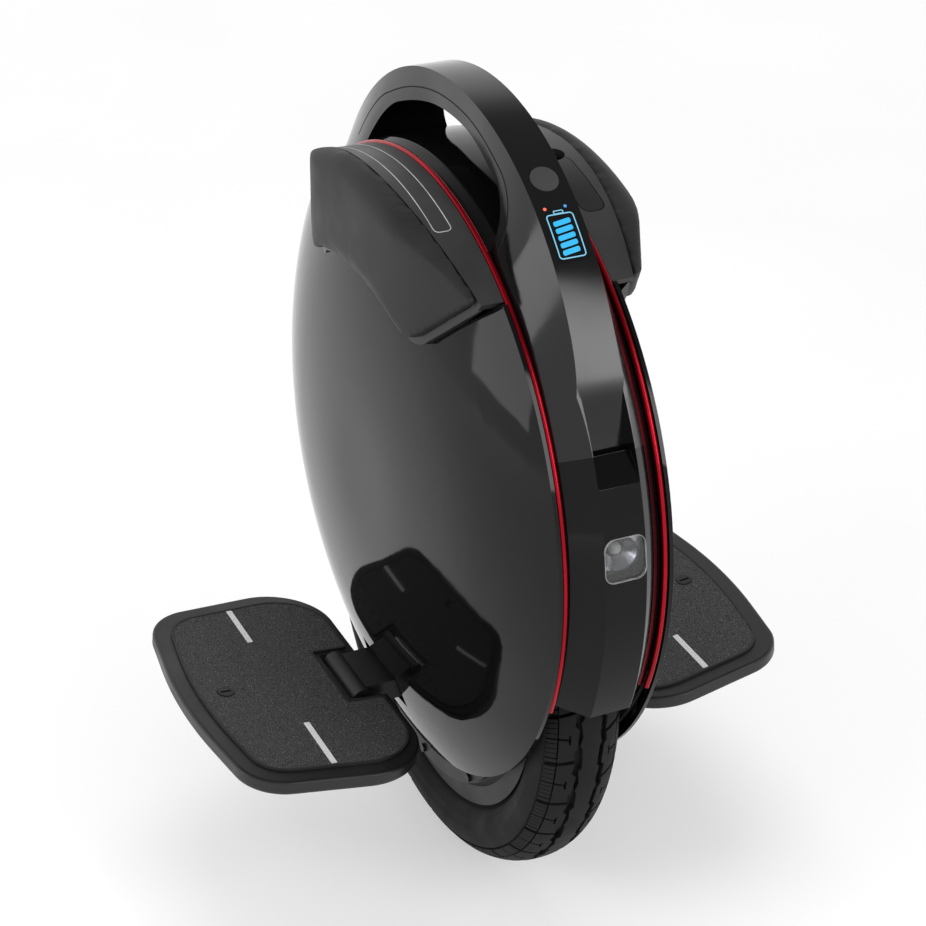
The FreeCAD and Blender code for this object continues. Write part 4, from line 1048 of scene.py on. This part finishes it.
def seam_line(side):
    """One side's seam: a thin near-black line laid on the cover and the grip, as painted shade for the gap
    between them.
    """
    surface = surface_of(("handle_cover", "handle_grip"))
    path = seam_path()
    rows = []
    for index, here in enumerate(path):
        along = path[min(index + 1, len(path) - 1)] - path[max(index - 1, 0)]
        out = Vector((along.y, -along.x)).normalized() * SEAM_HALF
        row = []
        for x, z in (here + out, here - out):
            outside = Vector((x * MM, side * RAY_FROM, z * MM))
            hit = surface.ray_cast(outside, Vector((0.0, -side, 0.0)), RAY_REACH)[0]
            if hit is not None:
                row += [(x, hit.y / MM + side * SEAM_RISE, z), (x, hit.y / MM - side * SEAM_DEPTH, z)]
        if len(row) == 4:
            rows.append(row)
    points = []
    faces = []
    for row in rows:
        points += row
    for index in range(len(rows) - 1):
        low = index * 4
        high = low + 4
        for first, second in ((0, 2), (2, 3), (3, 1), (1, 0)):
            faces.append((low + first, low + second, high + second, high + first))
    faces.append((0, 1, 3, 2))
    faces.append(tuple(len(points) - 4 + corner for corner in (0, 2, 3, 1)))
    return points, faces


def seam_lines():
    """The seams of both sides."""
    for side_name, side in (("left", 1), ("right", -1)):
        points, faces = seam_line(side)
        # The seam line's near-black material is painted shade for the gap between cover and grip.
        add_piece("handle_seam_" + side_name, points, faces, "seam_painted_shade", "chassis")


seam_lines()


# The bare label place on the right pad cover

LABEL_START = 69.5
LABEL_END = 110.5
LABEL_Y = (-49.5, -62.5)
LABEL_LINE = 0.7
LABEL_CORNER = 4.0


def label_outline():
    """A thin printed outline with nothing in it."""
    def place(along, across, height):
        turn = math.radians(90.0) - along / COVER_RADIUS
        radius = COVER_RADIUS + height
        return (radius * math.cos(turn), across, BODY_Z + radius * math.sin(turn))

    half_long = math.radians(LABEL_END - LABEL_START) / 2.0 * COVER_RADIUS
    half_wide = abs(LABEL_Y[1] - LABEL_Y[0]) / 2.0
    middle = (0.0, sum(LABEL_Y) / 2.0)
    outlines = []
    for shrink in (0.0, LABEL_LINE):
        outline = rounded_box(half_long - shrink, half_wide - shrink, LABEL_CORNER - shrink, middle)
        outlines.append(fine(outline))
    frame_line = ring_solid(*outlines, PRINT_LOW, PRINT_HIGH)
    add_flat("label_outline", frame_line, place, "pale_ink", "chassis")


label_outline()


# Camera, light and floor

CAMERA_AT = Vector((1.4089, -0.6676, 1.1863))
YAW = math.radians(64.73)
PITCH = math.radians(29.3)
ROLL = math.radians(0.82)
FOCAL_PIXELS = 2477.6
IMAGE_PIXELS = 926.0
SENSOR = 36.0
WHITE = (1.0, 1.0, 1.0, 1.0)
WALL_TOP = 0.5
CEILING_FROM = 0.72
CEILING = tint(0.22)
WORLD_LIGHT = 0.55
FLOOR_REACH = 30.0
FLOOR_GLOW = (0.42, 0.68)
FLOOR_GLOW_BETWEEN = (1.2, 3.5)
LAMPS = (
    ("key", (1.928, 0.848, 1.548), (0.19, 0.0, 0.52), (0.5, 1.6), 14.0, True),
    ("right_fill", (0.4, -2.2, 1.5), (0.0, 0.0, 0.3), (1.6, 1.2), 18.0, False),
    ("top", (-0.6, 0.2, 2.4), (0.0, 0.0, 0.4), (1.4, 1.4), 18.0, False),
    ("low_fill", (1.5, -2.0, 0.42), (0.15, 0.0, 0.4), (1.0, 0.6), 5.0, False),
    ("side_fill", (-0.63, -2.3, 0.61), (0.15, 0.0, 0.54), (0.8, 0.8), 4.5, True),
)


def add_camera():
    """The photograph's own viewpoint, as fitted to it."""
    back = Vector((math.sin(YAW) * math.cos(PITCH), -math.cos(YAW) * math.cos(PITCH), math.sin(PITCH)))
    right = Vector((math.cos(YAW), math.sin(YAW), 0.0))
    up = back.cross(right)
    across = right * math.cos(ROLL) + up * math.sin(ROLL)
    upward = up * math.cos(ROLL) - right * math.sin(ROLL)
    camera = bpy.data.cameras.new("camera")
    camera.sensor_width = SENSOR
    camera.lens = FOCAL_PIXELS / IMAGE_PIXELS * SENSOR
    thing = bpy.data.objects.new("camera", camera)
    turn = Matrix((across, upward, back)).transposed()
    thing.matrix_world = Matrix.Translation(CAMERA_AT) @ turn.to_4x4()
    SCENE.collection.objects.link(thing)
    SCENE.camera = thing


def seen_ray(tree):
    """1 for rays that show the surroundings: camera, glossy and transmission rays."""
    path = tree.nodes.new("ShaderNodeLightPath")
    total = path.outputs["Is Camera Ray"]
    for name in ("Is Glossy Ray", "Is Transmission Ray"):
        both = tree.nodes.new("ShaderNodeMath")
        both.operation = "MAXIMUM"
        tree.links.new(total, both.inputs[0])
        tree.links.new(path.outputs[name], both.inputs[1])
        total = both.outputs[0]
    return total


def white_walls(tree):
    """White all round the horizon, under a dark studio ceiling."""
    coords = tree.nodes.new("ShaderNodeTexCoord")
    split = tree.nodes.new("ShaderNodeSeparateXYZ")
    tree.links.new(coords.outputs["Generated"], split.inputs[0])
    ramp = tree.nodes.new("ShaderNodeValToRGB")
    elements = ramp.color_ramp.elements
    elements[0].position = WALL_TOP
    elements[0].color = WHITE
    elements[1].position = CEILING_FROM
    elements[1].color = (*CEILING, 1.0)
    tree.links.new(split.outputs["Z"], ramp.inputs["Fac"])
    return ramp.outputs["Color"]


def add_world():
    """White where it is seen, and a softer light where it only lights."""
    world = bpy.data.worlds.new("studio")
    SCENE.world = world
    world.use_nodes = True
    tree = world.node_tree
    lit = tree.nodes["Background"]
    lit.inputs["Color"].default_value = WHITE
    lit.inputs["Strength"].default_value = WORLD_LIGHT
    white = tree.nodes.new("ShaderNodeBackground")
    white.inputs["Strength"].default_value = 1.0
    tree.links.new(white_walls(tree), white.inputs["Color"])
    mix = tree.nodes.new("ShaderNodeMixShader")
    tree.links.new(seen_ray(tree), mix.inputs["Fac"])
    tree.links.new(lit.outputs[0], mix.inputs[1])
    tree.links.new(white.outputs[0], mix.inputs[2])
    tree.links.new(mix.outputs[0], tree.nodes["World Output"].inputs["Surface"])


def add_lamp(name, place, target, size, power, mirrored):
    """A soft area lamp aimed at a point; only a mirrored one shows in gloss."""
    lamp = bpy.data.lights.new(name, "AREA")
    lamp.shape = "RECTANGLE"
    lamp.size = size[0]
    lamp.size_y = size[1]
    lamp.energy = power
    thing = bpy.data.objects.new(name, lamp)
    thing.location = place
    thing.rotation_euler = (Vector(target) - Vector(place)).to_track_quat("-Z", "Y").to_euler()
    SCENE.collection.objects.link(thing)
    thing.visible_glossy = mirrored


def add_floor():
    """A plain pale floor that stays white in view and keeps the shadow."""
    mesh = bpy.data.meshes.new("floor")
    corners = [(x * FLOOR_REACH, y * FLOOR_REACH, 0) for x, y in ((-1, -1), (1, -1), (1, 1), (-1, 1))]
    mesh.from_pydata(corners, [], [(0, 1, 2, 3)])
    floor = bpy.data.objects.new("floor", mesh)
    SCENE.collection.objects.link(floor)
    shade = Shade("floor", tint(0.62), 0.9, Specular_IOR_Level=0.0)
    shade.drive("Base Color", shade.ramp(shade.noise(3.0), (0.3, tint(0.61)), (0.7, tint(0.63))))
    shade.set("Emission Color", WHITE)
    away = shade.tree.nodes.new("ShaderNodeVectorMath")
    away.operation = "LENGTH"
    shade.link(shade.coords, away.inputs[0])
    level = shade.spread(away.outputs["Value"], *FLOOR_GLOW, *FLOOR_GLOW_BETWEEN)
    shown = shade.tree.nodes.new("ShaderNodeMath")
    shown.operation = "MULTIPLY"
    shade.link(seen_ray(shade.tree), shown.inputs[0])
    shade.link(level, shown.inputs[1])
    shade.drive("Emission Strength", shown.outputs[0])
    mesh.materials.append(shade.material)


add_camera()
add_world()
for lamp_row in LAMPS:
    add_lamp(*lamp_row)
add_floor()

SCENE.view_settings.view_transform = "Standard"
